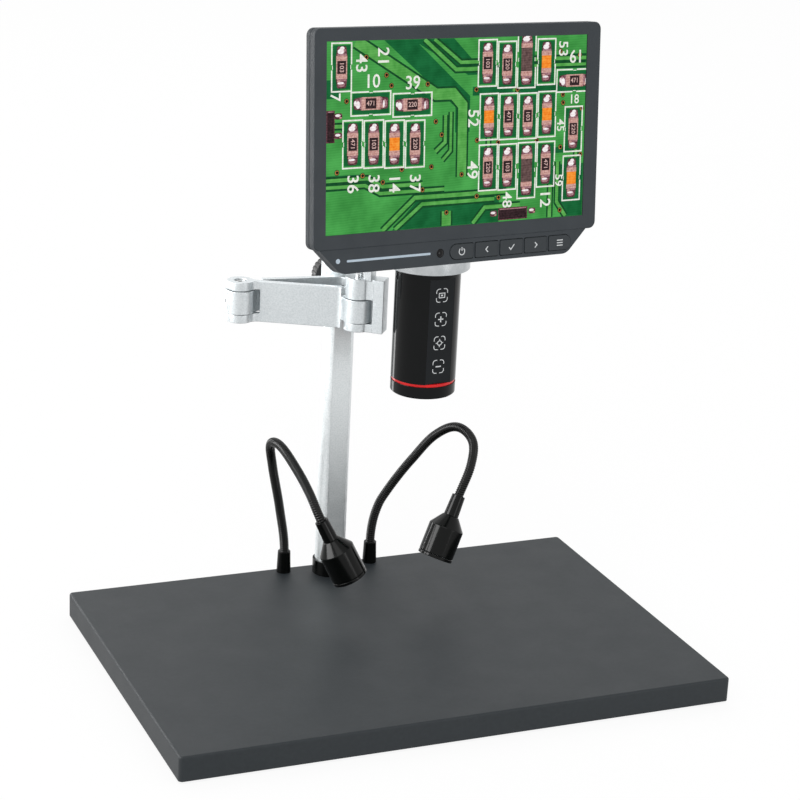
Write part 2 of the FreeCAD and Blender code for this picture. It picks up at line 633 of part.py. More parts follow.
def make_sockets():
    pieces = []
    for side in ("-", ""):
        at = (side + "socket_side", SOCKET_LINE, "foot_height + base_height")
        below = (side + "socket_side", SOCKET_LINE, "foot_height + base_height - base_wall - 3")
        top = "foot_height + base_height + socket_height - neck_seat"
        body = join(cone("socket_foot_radius", "socket_top_radius", "socket_height", at),
                    rod("socket_shank_radius", "base_wall + 4", below))
        pieces.append(cut(body, rod("neck_root + run_gap", "neck_seat + 1",
                                    (side + "socket_side", SOCKET_LINE, top + " - 0.4")),
                          rod("neck_bore", "socket_height + base_wall + 4", below)))
    finish(group(*pieces), "lamp_sockets")


# Carriage: the clamp that slides on the column, with its knob
def make_carriage():
    ring = rod("carriage_radius", "carriage_height")
    low = "ear_height + ear_gap"
    high = "link_height - 2 * (ear_height + ear_gap)"
    knuckle = rod("tongue_radius", high, (0, "-hinge_reach", low))
    web = box("9", "hinge_reach - column_flat - 1", high, ("-4.5", "-hinge_reach", low))
    boss = rod("8", "5", (0, "boss_reach - 5", "stud_height"), "y")
    column_room = d_bar("column_radius + run_gap", "column_flat + run_gap", "carriage_height", (0, 0, 0))
    pin_room = rod("pin_radius + run_gap", "link_height", (0, "-hinge_reach", 0))
    stud_room = rod("stud_radius + run_gap", "10", (0, "8", "stud_height"), "y")
    pad_room = rod("pad_radius + seat_gap", "pad_sheet + 0.6 + column_radius - 4", (0, "4", "stud_height"), "y")
    finish(cut(join(ring, knuckle, web, boss), column_room, pin_room, stud_room, pad_room),
           "carriage_block", column_frame)
    pad = cut(rod("pad_radius", "pad_sheet + 1.5", (0, "column_radius - 1.5 + run_gap", "stud_height"), "y"),
              d_bar("column_radius + run_gap", "column_flat", "carriage_height", (0, 0, 0)))
    finish(pad, "clamp_pad", column_frame)
    face = "column_radius + run_gap + pad_sheet + seat_gap"
    finish(rod("stud_radius", "stud_length - 10", (0, face, "stud_height"), "y"), "clamp_stud", column_frame)
    start = "boss_reach + free_gap"
    rim = rod("knob_radius", "knob_thickness", (0, start, "stud_height"), "y")
    hub = rod("knob_radius - 4", "knob_hub", (0, start + " + knob_thickness", "stud_height"), "y")
    grooves = []
    count = int(d.knob_ribs)
    for i in range(count):
        angle = 2 * math.pi * i / count
        groove = rod("0.7", "knob_thickness", (0, start, 0), "y")
        bind(groove, "Placement.Base.x", "(knob_radius + 0.2) * %.6f" % math.cos(angle))
        bind(groove, "Placement.Base.z", "stud_height + (knob_radius + 0.2) * %.6f" % math.sin(angle))
        grooves.append(groove)
    stud_seat = rod("stud_radius + seat_gap", "stud_length", (0, face, "stud_height"), "y")
    finish(cut(join(rim, hub), stud_seat, *grooves), "clamp_knob", column_frame)


# Links: two alike castings, each a fork at one end and a knuckle at the other
def link_outline():
    b = d.knuckle_blend
    outline = []
    corners = []
    for face, sign in ((d.link_front, -1), (d.link_back, 1)):
        ends = []
        for r, x, inwards in ((d.knuckle_radius, 0, 1), (d.tongue_radius, d.link_length, -1)):
            out = face + b
            along = math.sqrt((r + b) ** 2 - out ** 2)
            touch = V(x + inwards * along * r / (r + b), sign * out * r / (r + b), 0)
            foot = V(x + inwards * along, sign * face, 0)
            centre = V(x + inwards * along, sign * out, 0)
            middle = ((touch - centre) + (foot - centre)).normalize() * b + centre
            outline.append(Part.Arc(touch, middle, foot))
            ends.append((touch, foot))
        outline.append(Part.LineSegment(ends[0][1], ends[1][1]))
        corners.append((ends[0][0], ends[1][0]))
    outline.append(Part.Arc(corners[0][0], V(-d.knuckle_radius, 0, 0), corners[1][0]))
    outline.append(Part.Arc(corners[0][1], V(d.link_length + d.tongue_radius, 0, 0), corners[1][1]))
    return outline


def make_link(node, frame, end_gap):
    plan = slab(link_outline(), "0", "link_height", "flat")
    gap = box("fork_depth + knuckle_radius + 1", "knuckle_radius * 2 + 2", "link_height - 2 * ear_height",
              ("-knuckle_radius - 1", "-knuckle_radius - 1", "ear_height"))
    step = "ear_height + ear_gap"
    trims = [box(end_gap + " + tongue_radius + 1", "tongue_radius * 2 + 2", step,
                 ("link_length - (%s)" % end_gap, "-tongue_radius - 1", z))
             for z in ("0", "link_height - (%s)" % step)]
    seat = rod("pin_radius + seat_gap", "link_height")
    bore = rod("pin_radius + run_gap", "link_height", ("link_length", 0, 0))
    recess = rod("pin_head_radius + 0.35", "head_recess", (0, 0, "link_height - head_recess"))
    grub = rod("grub_radius + seat_gap", "tongue_radius + 1", ("link_length", 0, "link_height / 2"), "x")
    finish(cut(plan, gap, seat, bore, recess, grub, *trims), node, frame)


def make_pin(node, frame):
    shank = rod("pin_radius", "link_height - head_recess - 0.4", (0, 0, "0.4"))
    head = rod("pin_head_radius", "pin_head_height", (0, 0, "link_height - head_recess"))
    key = hexagon("1.7", "1.5", (0, 0, "link_height - head_recess + pin_head_height - 1.5"))
    finish(cut(join(shank, head), key), node, frame)


def make_arm():
    flip = Turn(V(1, 0, 0), 180)
    rear = Place(rear_frame.Base + V(0, 0, d.link_height), rear_frame.Rotation.multiply(flip))
    make_link("rear_link", rear, "rear_end_gap")
    make_link("front_link", front_frame, "front_end_gap")
    make_pin("column_hinge_pin", rear)
    make_pin("elbow_pin", front_frame)
    grub = rod("grub_radius", "tongue_radius - pin_radius - 1", ("link_length + pin_radius + 0.6", 0,
                                                                 "link_height / 2"), "x")
    key = hexagon("0.8", "1.2", ("link_length + tongue_radius - 1.6", 0, "link_height / 2"), "x")
    finish(cut(grub, key), "elbow_set_screw", rear)


# Wrist bracket, its pin, and the ring that holds the scope
def make_bracket():
    depth = "2 * block_half_depth"
    block = box("block_far - block_near", depth, "carriage_height", ("block_near", "-block_half_depth", 0))
    ears = []
    for start, height in (("0", "ear_height"),
                          ("link_height - ear_height", "carriage_height - link_height + ear_height")):
        ears.append(rod("knuckle_radius", height, (0, 0, start)))
        ears.append(box("block_near + 1", "2 * block_half_depth - 1", height, (0, "0.5 - block_half_depth", start)))
    upright = box("upright_far - upright_near", depth, "ring_lift - carriage_height + 1",
                  ("upright_near", "-block_half_depth", "carriage_height - 1"))
    spacing = "block_half_depth - 2.6"
    screw_x = "(upright_near + upright_far) / 2"
    threads = [rod("holder_screw_radius + seat_gap", "9", (screw_x, side + "(" + spacing + ")", "ring_lift - 9"))
               for side in ("-", "")]
    bore = rod("pin_radius + seat_gap", "carriage_height")
    finish(cut(join(block, upright, *ears), bore, *threads), "wrist_bracket", holder_frame)
    stem = rod("post_stem_radius", "ring_lift + arm_bar_height - carriage_height", (0, 0, "carriage_height"))
    shank = rod("pin_radius", "carriage_height - 0.4", (0, 0, "0.4"))
    head = rod("pin_head_radius", "pin_head_height", (0, 0, "ring_lift + arm_bar_height"))
    key = hexagon("1.7", "1.5", (0, 0, "ring_lift + arm_bar_height + pin_head_height - 1.5"))
    finish(cut(join(stem, shank, head), key), "wrist_pin", holder_frame)
    ring = rod("ring_radius", "ring_height", ("holder_reach", 0, "ring_lift + ring_step"))
    bar = join(box("holder_reach - tube_radius", "2 * arm_bar_half", "arm_bar_height", (0, "-arm_bar_half", "ring_lift")),
               rod("arm_bar_half", "arm_bar_height", (0, 0, "ring_lift")))
    tube_room = rod("tube_radius + run_gap", "ring_step + ring_height", ("holder_reach", 0, "ring_lift"))
    post_room = rod("post_stem_radius + seat_gap", "arm_bar_height", (0, 0, "ring_lift"))
    screw_rooms = [rod("holder_screw_radius + seat_gap", "arm_bar_height", (screw_x, side + "(" + spacing + ")",
                                                                           "ring_lift")) for side in ("-", "")]
    thumb = make_thumb("thumb_radius + run_gap", "ring_radius", "tube_radius - 1")
    finish(cut(join(ring, bar), tube_room, post_room, thumb, *screw_rooms), "holder_ring", holder_frame)
    screws = []
    for side in ("-", ""):
        y = side + "(" + spacing + ")"
        shank = rod("holder_screw_radius", "arm_bar_height + 8", (screw_x, y, "ring_lift - 8"))
        cap = rod("holder_screw_radius * 1.45", "2", (screw_x, y, "ring_lift + arm_bar_height"))
        drive = hexagon("1.1", "1.2", (screw_x, y, "ring_lift + arm_bar_height + 0.8"))
        screws.append(cut(join(shank, cap), drive))
    finish(group(*screws), "holder_screws", holder_frame)
    stem = make_thumb("thumb_radius", "ring_radius + 2", "tube_radius + run_gap + 0.3")
    knob = make_thumb("thumb_knob_radius", "ring_radius + free_gap + thumb_knob_length", "ring_radius + free_gap")
    waist = make_thumb("thumb_knob_radius - 2", "ring_radius + free_gap + thumb_knob_length + 2",
                       "ring_radius + free_gap")
    finish(join(stem, knob, waist), "ring_thumbscrew", holder_frame)


def make_thumb(radius, far, near):
    """A round piece on the thumbscrew's radial line, between two distances from the scope axis."""
    angle = math.radians(d.thumb_angle)
    piece = rod(radius, "%s - (%s)" % (far, near))
    piece.Placement = Place(V(0, 0, 0), Turn(V(0, 0, 1), V(math.cos(angle), math.sin(angle), 0)))
    bind(piece, "Placement.Base.x", "holder_reach + (%s) * %.6f" % (near, math.cos(angle)))
    bind(piece, "Placement.Base.y", "(%s) * %.6f" % (near, math.sin(angle)))
    bind(piece, "Placement.Base.z", "ring_lift + ring_step + ring_height / 2")
    return piece


# Scope: tube, touch panel, rings of light and lens
def make_scope():
    lower = "front_ring_height + accent_height"
    ring = cut(rod("tube_radius", "front_ring_height"),
               rod("tube_bore", "front_ring_height"))
    seat = cut(rod("tube_bore + 0.5", "2", (0, 0, "diffuser_sheet + 0.6")), rod("tube_bore - 1.2", "2",
                                                                            (0, 0, "diffuser_sheet + 0.6")))
    finish(join(ring, seat), "front_ring", scope_frame)
    accent = cut(rod("accent_radius", "accent_height", (0, 0, "front_ring_height")),
                 rod("tube_bore", "accent_height", (0, 0, "front_ring_height")))
    finish(accent, "accent_ring", scope_frame)
    tube = cut(rod("tube_radius", "tube_length", (0, 0, lower)), rod("tube_bore", "tube_length", (0, 0, lower)))
    half = math.sqrt(d.tube_radius ** 2 - d.flat_distance ** 2)
    band = box(2 * d.tube_radius, "tube_radius - flat_distance", "panel_length",
               ("-tube_radius", "-tube_radius", lower))
    pocket = box(2 * half - 0.6, "panel_sheet + 1", "panel_length",
                 (0.3 - half, "-flat_distance - 1", lower))
    finish(cut(tube, band, pocket), "scope_tube", panel_frame)
    panel = box(2 * half - 0.6 - 2 * d.seat_gap, "panel_sheet - seat_gap", "panel_length - 2 * seat_gap",
                (0.3 - half + d.seat_gap, "-flat_distance", lower + " + seat_gap"))
    finish(panel, "touch_panel", panel_frame)
    diffuser = cut(rod("tube_bore - seat_gap", "diffuser_sheet", (0, 0, "0.6")),
                   rod("barrel_radius + 0.3", "diffuser_sheet", (0, 0, "0.6")))
    finish(diffuser, "light_diffuser", scope_frame)
    board = cut(rod("tube_bore - seat_gap", "board_sheet", (0, 0, "ring_board_lift")),
                rod("barrel_radius + 0.3", "board_sheet", (0, 0, "ring_board_lift")))
    lamps = []
    for i in range(12):
        angle = 2 * math.pi * i / 12
        lamp = rod("1.3", "0.8", (0, 0, "ring_board_lift - 0.8"))
        bind(lamp, "Placement.Base.x", "(tube_bore + barrel_radius) / 2 * %.6f" % math.cos(angle))
        bind(lamp, "Placement.Base.y", "(tube_bore + barrel_radius) / 2 * %.6f" % math.sin(angle))
        lamps.append(lamp)
    finish(join(board, *lamps), "led_ring_board", scope_frame)
    flange = rod("tube_bore - seat_gap", "flange_sheet", (0, 0, "barrel_length - flange_sheet"))
    barrel = cut(join(rod("barrel_radius", "barrel_length - 1", (0, 0, "1")), flange),
                 rod("barrel_radius - barrel_wall", "barrel_length", (0, 0, "1")))
    seat = cut(rod("barrel_radius - 0.5", "1.5", (0, 0, "5")), rod("lens_radius - 1", "1.5", (0, 0, "5")))
    finish(join(barrel, seat), "lens_barrel", scope_frame)
    glass = shared(rod("barrel_radius - barrel_wall - seat_gap", "3.4", (0, 0, "1.6")),
                   bulb("20", "21.6"))
    finish(glass, "objective_lens", scope_frame)
    cell = cut(rod("barrel_radius - barrel_wall - run_gap", "cell_length", (0, 0, "cell_start")),
               rod("lens_radius - 1.5", "cell_length", (0, 0, "cell_start")))
    web = rod("lens_radius - 1", "3", (0, 0, "cell_start + cell_length / 2 - 1.5"))
    finish(join(cell, web), "focus_cell", scope_frame)
    lift = "barrel_length + sensor_gap"
    sensor = join(rod("tube_bore - seat_gap", "board_sheet", (0, 0, lift)),
                  box("2 * sensor_half", "2 * sensor_half", "1.2", ("-sensor_half", "-sensor_half", lift + " - 1.2")))
    finish(sensor, "sensor_board", scope_frame)
    top = lower + " + tube_length"
    disc = join(rod("tube_radius", "scope_cap_height", (0, 0, top)),
                rod("tube_bore - seat_gap", "cap_plug", (0, 0, top + " - cap_plug")))
    cheeks = []
    leg = "(tilt_lift - (%s) - scope_cap_height + 1.5)" % top
    for start in ("-hinge_half - free_gap - hinge_cheek", "hinge_half + free_gap"):
        cheeks.append(rod("hinge_barrel", "hinge_cheek", (start, 0, 0), "x"))
        cheeks.append(box("hinge_cheek", "2 * hinge_barrel", leg, (start, "-hinge_barrel", "-" + leg)))
    pin_room = rod("pin_radius + run_gap", "2 * (hinge_half + free_gap + hinge_cheek)",
                   ("-hinge_half - free_gap - hinge_cheek", 0, 0), "x")
    yoke = cut(join(*cheeks), pin_room)
    tilt_axis = scope_frame.Rotation.inverted().multiply(display_turn).multVec(V(1, 0, 0))
    yoke.Placement = Place(V(0, 0, 0), Turn(tilt_axis, V(0, 0, 0), V(0, 0, 1), "XZY"))
    bind(yoke, "Placement.Base.z", "tilt_lift")
    finish(join(disc, yoke), "scope_cap", scope_frame)


def bulb(radius, centre):
    obj = doc.addObject("Part::Sphere", "Sphere")
    bind(obj, "Radius", radius)
    return locate(obj, (0, 0, centre), "z")


# Display: frame with a key bar, LCD, back cover, keys, and the tilt hinge. Its own frame has
# X to the right, Y into the depth and Z up, from the middle of the picture on the front face.
def display_edges():
    left = -d.active_width / 2 - d.bezel_left
    right = d.active_width / 2 + d.bezel_right
    low = -d.active_height / 2 - d.bezel_bottom
    high = d.active_height / 2 + d.bezel_top
    return left, right, low, high


KEYS = ("key_power", "key_previous", "key_select", "key_next", "key_menu")
# The same places as formulas, for pieces that are tied to the sheet
KEY_LINE = "(-active_height / 2 - bezel_bottom - key_drop)"
LEFT_EDGE = "(-active_width / 2 - bezel_left)"
STATUS_SIDE = "(status_inset + %s)" % LEFT_EDGE
WINDOW_SIDE = "(window_inset + %s)" % LEFT_EDGE
BULGE_LOW = "(bulge_foot - active_height / 2)"
BOARD_FRONT = "(bezel_depth + board_lift)"


def chin_outline(shrink, overlap):
    left, right, low, high = display_edges()
    start = left + d.chin_inset + shrink
    end = right - d.chin_inset_right - shrink
    foot = low - d.chin_height + shrink
    lean = d.chin_height - shrink
    return rounded([(start, low), (start + lean, foot), (end - lean, foot), (end, low),
                    (end, low + overlap), (start, low + overlap)],
                   [0, d.chin_corner - shrink, d.chin_corner - shrink, 0, 0, 0])


def key_middle(index):
    return display_edges()[1] - d.key_inset - (len(KEYS) - 1 - index) * d.key_pitch


def key_shape(index, grow, start, depth):
    """One key: the first and last have a round outer end."""
    middle = key_middle(index)
    line = display_edges()[2] - d.key_drop
    w = d.key_width / 2 + grow
    h = d.key_height / 2 + grow
    small = 1.2
    big = h - 0.05
    left = big if index == 0 else small
    right = big if index == len(KEYS) - 1 else small
    points = [(middle - w, line - h), (middle + w, line - h), (middle + w, line + h), (middle - w, line + h)]
    return slab(rounded(points, [left, right, right, left]), start, depth)


def make_display():
    left, right, low, high = display_edges()
    wall = d.bezel_wall
    frame = slab(oblong(left, low, right, high, d.bezel_corner), "0", "bezel_depth")
    room = slab(oblong(left + wall, low + wall, right - wall, high - wall, d.bezel_corner - wall),
                "panel_recess", "bezel_depth")
    face = slab(oblong(left + 1, low + 1, right - 1, high - 1, d.bezel_corner - 1), "0", "panel_recess")
    chin = slab(chin_outline(0, 4), "chin_setback", "bezel_depth - chin_setback")
    chin_room = slab(chin_outline(wall, 1), "chin_setback + 1.6", "bezel_depth")
    window = slab(oblong(-d.active_width / 2, -d.active_height / 2, d.active_width / 2, d.active_height / 2, 0.4),
                  "-1", "bezel_depth")
    holes = [key_shape(i, d.key_gap, "-1", "bezel_depth") for i in range(5)]
    holes.append(light_line(0.05, "-1", "bezel_depth"))
    status_line = KEY_LINE + " + status_rise"
    holes.append(rod("status_radius + seat_gap", "bezel_depth", (STATUS_SIDE, "-1", status_line), "y"))
    holes.append(rod("window_radius + seat_gap", "bezel_depth", (WINDOW_SIDE, "-1", KEY_LINE), "y"))
    shell = cut(join(frame, chin), room, chin_room)
    finish(cut(join(shell, face), window, *holes), "display_bezel", display_frame)
    edge = d.panel_edge
    lcd = slab(oblong(-d.active_width / 2 - edge, -d.active_height / 2 - edge,
                      d.active_width / 2 + edge, d.active_height / 2 + edge, 1), "panel_recess", "panel_depth")
    finish(lcd, "lcd_panel", display_frame)
    lights = [light_line(0, "chin_setback", "2.4"),
              rod("status_radius", "2.4", (STATUS_SIDE, "chin_setback", status_line), "y")]
    bar = box("light_inset + light_length - status_inset + 2", "1", "3",
              (STATUS_SIDE + " - 1", "chin_setback + 2.4", KEY_LINE + " - 1.2"))
    finish(join(bar, *lights), "chin_lights", display_frame)
    finish(rod("window_radius", "2.4", (WINDOW_SIDE, "chin_setback - 0.2", KEY_LINE), "y"),
           "ir_window", display_frame)
    make_back()
    for index, node in enumerate(KEYS):
        cap = key_shape(index, 0, "chin_setback - key_proud", "key_proud + 1.6 + key_travel")
        stem = box("6", "1.2", "4", (key_middle(index) - 3, "chin_setback + 1.6 + key_travel", KEY_LINE + " - 2"))
        finish(join(cap, stem), node, display_frame)
    board = box("active_width - 2 * board_margin", "board_sheet", "2 * board_half",
                ("board_margin - active_width / 2", BOARD_FRONT, "-board_half"))
    ports = [box("port_width", "port_depth", "port_length",
                 ("port_side - port_width / 2 + %d * port_pitch" % i, BOARD_FRONT + " + board_sheet",
                  BULGE_LOW + " + back_wall + seat_gap")) for i in range(2)]
    strip_start = BULGE_LOW + " + back_wall + 0.4"
    link_strip = box("port_pitch * 3", "board_sheet", "5 - board_half - (%s)" % strip_start,
                     ("port_side - port_width / 2 - port_pitch * 0.75", BOARD_FRONT, strip_start))
    finish(join(board, link_strip, *ports), "main_board", display_frame)
    plate = box("2 * plate_half", "hinge_plate", "plate_height",
                ("tilt_side - plate_half", "bulge_depth", TILT_LINE + " - plate_foot"))
    barrel = rod("hinge_barrel", "2 * hinge_half", ("tilt_side - hinge_half", "tilt_depth", TILT_LINE), "x")
    web = box("2 * hinge_half", "tilt_depth - bulge_depth", "2 * hinge_barrel",
              ("tilt_side - hinge_half", "bulge_depth", TILT_LINE + " - hinge_barrel"))
    pin = rod("pin_radius", "2 * (hinge_half + free_gap + hinge_cheek) - 1",
              ("tilt_side - hinge_half - free_gap - hinge_cheek + 0.5", "tilt_depth", TILT_LINE), "x")
    finish(join(plate, barrel, web, pin), "tilt_hinge", display_frame)


def light_line(grow, start, depth):
    half = d.light_half + grow
    left, right, low, high = display_edges()
    middle = low - d.key_drop + d.light_rise
    first = left + d.light_inset
    return slab(oblong(first - grow, middle - half, first + d.light_length + grow, middle + half, half - 0.05),
                start, depth)


def make_back():
    left, right, low, high = display_edges()
    wall = d.back_wall
    rim = slab(oblong(left, low, right, high, d.bezel_corner), "bezel_depth", "display_depth - bezel_depth")
    chin = slab(chin_outline(0, 4), "bezel_depth", "display_depth - bezel_depth")
    half = d.active_width / 2 - d.bulge_side
    foot = d.bulge_foot - d.active_height / 2
    head = d.active_height / 2 - d.bulge_head
    raised = slab(oblong(-half, foot, half, head, d.bulge_corner), "display_depth - 1",
                  "bulge_depth - display_depth + 1")
    room = slab(oblong(left + wall, low + wall, right - wall, high - wall, d.bezel_corner - wall),
                "bezel_depth - 1", "display_depth - bezel_depth - back_wall + 1")
    chin_room = slab(chin_outline(wall, 1), "bezel_depth - 1", "display_depth - bezel_depth - back_wall + 1")
    raised_room = slab(oblong(-half + wall, foot + wall, half - wall, head - wall, d.bulge_corner - wall),
                       "bezel_depth", "bulge_depth - bezel_depth - back_wall")
    ports = [box("port_width - 1", "port_depth - 1", "back_wall + 1",
                 ("port_side - port_width / 2 + 0.5 + %d * port_pitch" % i, BOARD_FRONT + " + 0.5 + board_sheet",
                  BULGE_LOW + " - 0.5")) for i in range(2)]
    slots = [box("slot_length", "back_wall * 2", "slot_width",
                 (x, "bulge_depth - back_wall * 1.5",
                  "active_height / 2 - bulge_head - slot_drop - %d * slot_pitch" % i))
             for x in ("-slot_side - slot_length", "slot_side") for i in range(5)]
    finish(cut(join(rim, chin, raised), room, chin_room, raised_room, *(ports + slots)), "display_back",
           display_frame)


make_base()
make_column()
make_sockets()
make_lamp("right", 1, NECK_RIGHT, LAMP_AIM_RIGHT)
make_lamp("left", -1, NECK_LEFT, LAMP_AIM_LEFT)
make_carriage()
make_arm()
make_bracket()
make_scope()
make_display()
doc.recompute()

for obj in doc.Objects:
    if "Invalid" in obj.State or "Error" in obj.State:
        raise RuntimeError("%s (%s) did not recompute" % (obj.Label, obj.Name))
os.makedirs("parts", exist_ok=True)
for obj in nodes:
    shape = obj.Shape
    if shape.isNull() or not shape.isValid() or shape.Volume <= 0:
        raise RuntimeError("%s has no valid solid" % obj.Label)
    shape.exportStep("parts/%s.step" % obj.Label)
    print("%-20s %d solid(s) %10.1f mm3" % (obj.Label, len(shape.Solids), shape.Volume))
print(len(nodes), "sub-parts")
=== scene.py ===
import json
import math

import bmesh
import bpy
from mathutils import Matrix, Vector

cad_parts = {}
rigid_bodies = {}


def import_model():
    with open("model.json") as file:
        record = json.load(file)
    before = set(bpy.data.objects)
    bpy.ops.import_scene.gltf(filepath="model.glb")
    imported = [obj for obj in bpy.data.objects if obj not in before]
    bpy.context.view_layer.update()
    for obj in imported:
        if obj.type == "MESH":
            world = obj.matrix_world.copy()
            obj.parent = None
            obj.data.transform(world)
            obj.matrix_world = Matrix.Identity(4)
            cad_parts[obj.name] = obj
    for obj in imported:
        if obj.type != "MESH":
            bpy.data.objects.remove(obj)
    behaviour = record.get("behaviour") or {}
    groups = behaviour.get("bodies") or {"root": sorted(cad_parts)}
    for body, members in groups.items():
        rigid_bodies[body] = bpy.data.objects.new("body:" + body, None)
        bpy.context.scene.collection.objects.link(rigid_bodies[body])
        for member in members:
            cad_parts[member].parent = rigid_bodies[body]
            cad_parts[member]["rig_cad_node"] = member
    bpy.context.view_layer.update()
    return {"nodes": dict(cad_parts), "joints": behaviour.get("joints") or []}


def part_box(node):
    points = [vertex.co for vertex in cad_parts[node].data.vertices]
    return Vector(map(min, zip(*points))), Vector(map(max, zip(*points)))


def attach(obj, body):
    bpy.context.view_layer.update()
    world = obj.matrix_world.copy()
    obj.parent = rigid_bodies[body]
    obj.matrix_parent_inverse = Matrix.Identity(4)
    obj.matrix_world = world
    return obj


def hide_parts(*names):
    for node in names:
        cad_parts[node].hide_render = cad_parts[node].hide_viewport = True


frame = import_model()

mm = 0.001


# ---- Studio ------------------------------------------------------------------------------------
# A camera at the photograph's angle, a white floor that keeps the stand's shadow, a white
# surround, and soft lamps at a level at which each colour renders about as it is written.

def linear(code, alpha=1.0):
    """An sRGB hex colour as the linear values that shaders take."""
    parts = [int(code[i:i + 2], 16) / 255 for i in (1, 3, 5)]
    return [p / 12.92 if p <= 0.04045 else ((p + 0.055) / 1.055) ** 2.4 for p in parts] + [alpha]


def add_node(tree, kind, values=None, links=None, **settings):
    """Adds a node: its settings, the values of its sockets, and the outputs that feed them."""
    made = tree.nodes.new("ShaderNode" + kind)
    for name, value in settings.items():
        setattr(made, name, value)
    for socket, value in (values or {}).items():
        made.inputs[socket].default_value = value
    for socket, source in (links or {}).items():
        tree.links.new(source, made.inputs[socket])
    return made


# The camera as solved from the photograph: its place, its angles and its focal length in pixels
camera_place = (-0.600448, -1.395840, 0.703439)
azimuth, elevation, roll = math.radians(23.294), math.radians(18.532), math.radians(2.771)
focal_pixels, frame_pixels, sensor_width = 2311.588, 800, 36
forward = Vector((math.sin(azimuth) * math.cos(elevation), math.cos(azimuth) * math.cos(elevation),
                  -math.sin(elevation)))
level = Vector((math.cos(azimuth), -math.sin(azimuth), 0))
above = level.cross(forward)
camera_right = level * math.cos(roll) + above * math.sin(roll)
camera_up = above * math.cos(roll) - level * math.sin(roll)
camera_data = bpy.data.cameras.new("camera")
camera_data.sensor_width = sensor_width
camera_data.lens = focal_pixels * sensor_width / frame_pixels
camera_data.clip_end = 50
camera = bpy.data.objects.new("camera", camera_data)
camera.matrix_world = (Matrix.Translation(camera_place)
                       @ Matrix((camera_right, camera_up, -forward)).transposed().to_4x4())
bpy.context.scene.collection.objects.link(camera)
bpy.context.scene.camera = camera
bpy.context.scene.view_settings.view_transform = "Standard"


def studio_rays(tree):
    """One for the rays that see the studio itself: the camera's, and those off gloss and through glass."""
    path = add_node(tree, "LightPath")
    seen = add_node(tree, "Math", links={0: path.outputs["Is Camera Ray"], 1: path.outputs["Is Glossy Ray"]},
                    operation="MAXIMUM")
    return add_node(tree, "Math", links={0: seen.outputs[0], 1: path.outputs["Is Transmission Ray"]},
                    operation="MAXIMUM").outputs[0]


world = bpy.data.worlds.new("studio")
world.use_nodes = True
bpy.context.scene.world = world
tree = world.node_tree
strength = add_node(tree, "MapRange", values={3: 0.62, 4: 1.0}, links={0: studio_rays(tree)})
surround = tree.nodes["Background"]
surround.inputs["Color"].default_value = (1, 1, 1, 1)
tree.links.new(strength.outputs[0], surround.inputs["Strength"])

floor_paper = bpy.data.materials.new("white_paper")
floor_paper.use_nodes = True
tree = floor_paper.node_tree
paper = tree.nodes["Principled BSDF"]
paper.inputs["Base Color"].default_value = linear("#f7f7f7")
paper.inputs["Roughness"].default_value = 0.9
paper.inputs["Specular IOR Level"].default_value = 0.0
share = add_node(tree, "Math", values={1: 0.84}, links={0: studio_rays(tree)}, operation="MULTIPLY")
white = add_node(tree, "Emission", values={"Color": (1, 1, 1, 1), "Strength": 1.05})
mixed = add_node(tree, "MixShader", links={0: share.outputs[0], 1: paper.outputs[0], 2: white.outputs[0]})
tree.links.new(mixed.outputs[0], tree.nodes["Material Output"].inputs["Surface"])
bpy.ops.object.select_all(action="DESELECT")
bpy.ops.mesh.primitive_plane_add(size=12, location=(0, 0, 0))
floor = bpy.context.object
floor.name = "floor"
floor.data.materials.append(floor_paper)

# Two soft boxes light the stand. The panels and strips add only reflections: the bright bands down
# the round parts, as in the photograph.
for name, spot, power, width, height in (("key_box", (-1.2, -2.0, 2.6), 25, 2.2, 2.2),
                                         ("back_box", (0.4, 2.2, 2.4), 10, 2.2, 2.2),
                                         ("left_panel", (-1.4, 0.05, 0.68), 26, 0.95, 0.9),
                                         ("right_panel", (0.72, -1.4, 0.3), 2.4, 0.5, 0.5),
                                         ("rear_strip", (-0.9, 1.1, 0.5), 8, 0.17, 1.5),
                                         ("tube_strip", (-0.23, 0.51, 0.12), 0.3, 0.1, 0.22)):
    lamp_data = bpy.data.lights.new(name, "AREA")
    lamp_data.energy = power
    lamp_data.shape = "RECTANGLE"
    lamp_data.size = width
    lamp_data.size_y = height
    lamp = bpy.data.objects.new(name, lamp_data)
    lamp.location = spot
    lamp.rotation_euler = (Vector((0, 0, 0.25)) - Vector(spot)).to_track_quat("-Z", "Y").to_euler()
    lamp.visible_camera = False
    lamp.visible_diffuse = name.endswith("box")
    bpy.context.scene.collection.objects.link(lamp)


# ---- Base ----------------------------------------------------------------------------------------
# A shallow pan folded from 2 mm steel sheet, with welded corners ground round, and a fine matte
# black powder coat over it. A flat steel cover is screwed into it from below, on four rubber feet.

def begin(kind, name, **settings):
    """A primitive added by itself, at its size and place."""
    bpy.ops.object.select_all(action="DESELECT")
    getattr(bpy.ops.mesh, "primitive_%s_add" % kind)(**settings)
    piece = bpy.context.object
    piece.name = name
    bpy.ops.object.transform_apply(location=True, rotation=True, scale=True)
    return piece


def activate(piece):
    """Leaves edit mode, and makes a piece the only one selected."""
    if bpy.context.object and bpy.context.object.mode == "EDIT":
        bpy.ops.object.mode_set(mode="OBJECT")
    bpy.ops.object.select_all(action="DESELECT")
    piece.select_set(True)
    bpy.context.view_layer.objects.active = piece


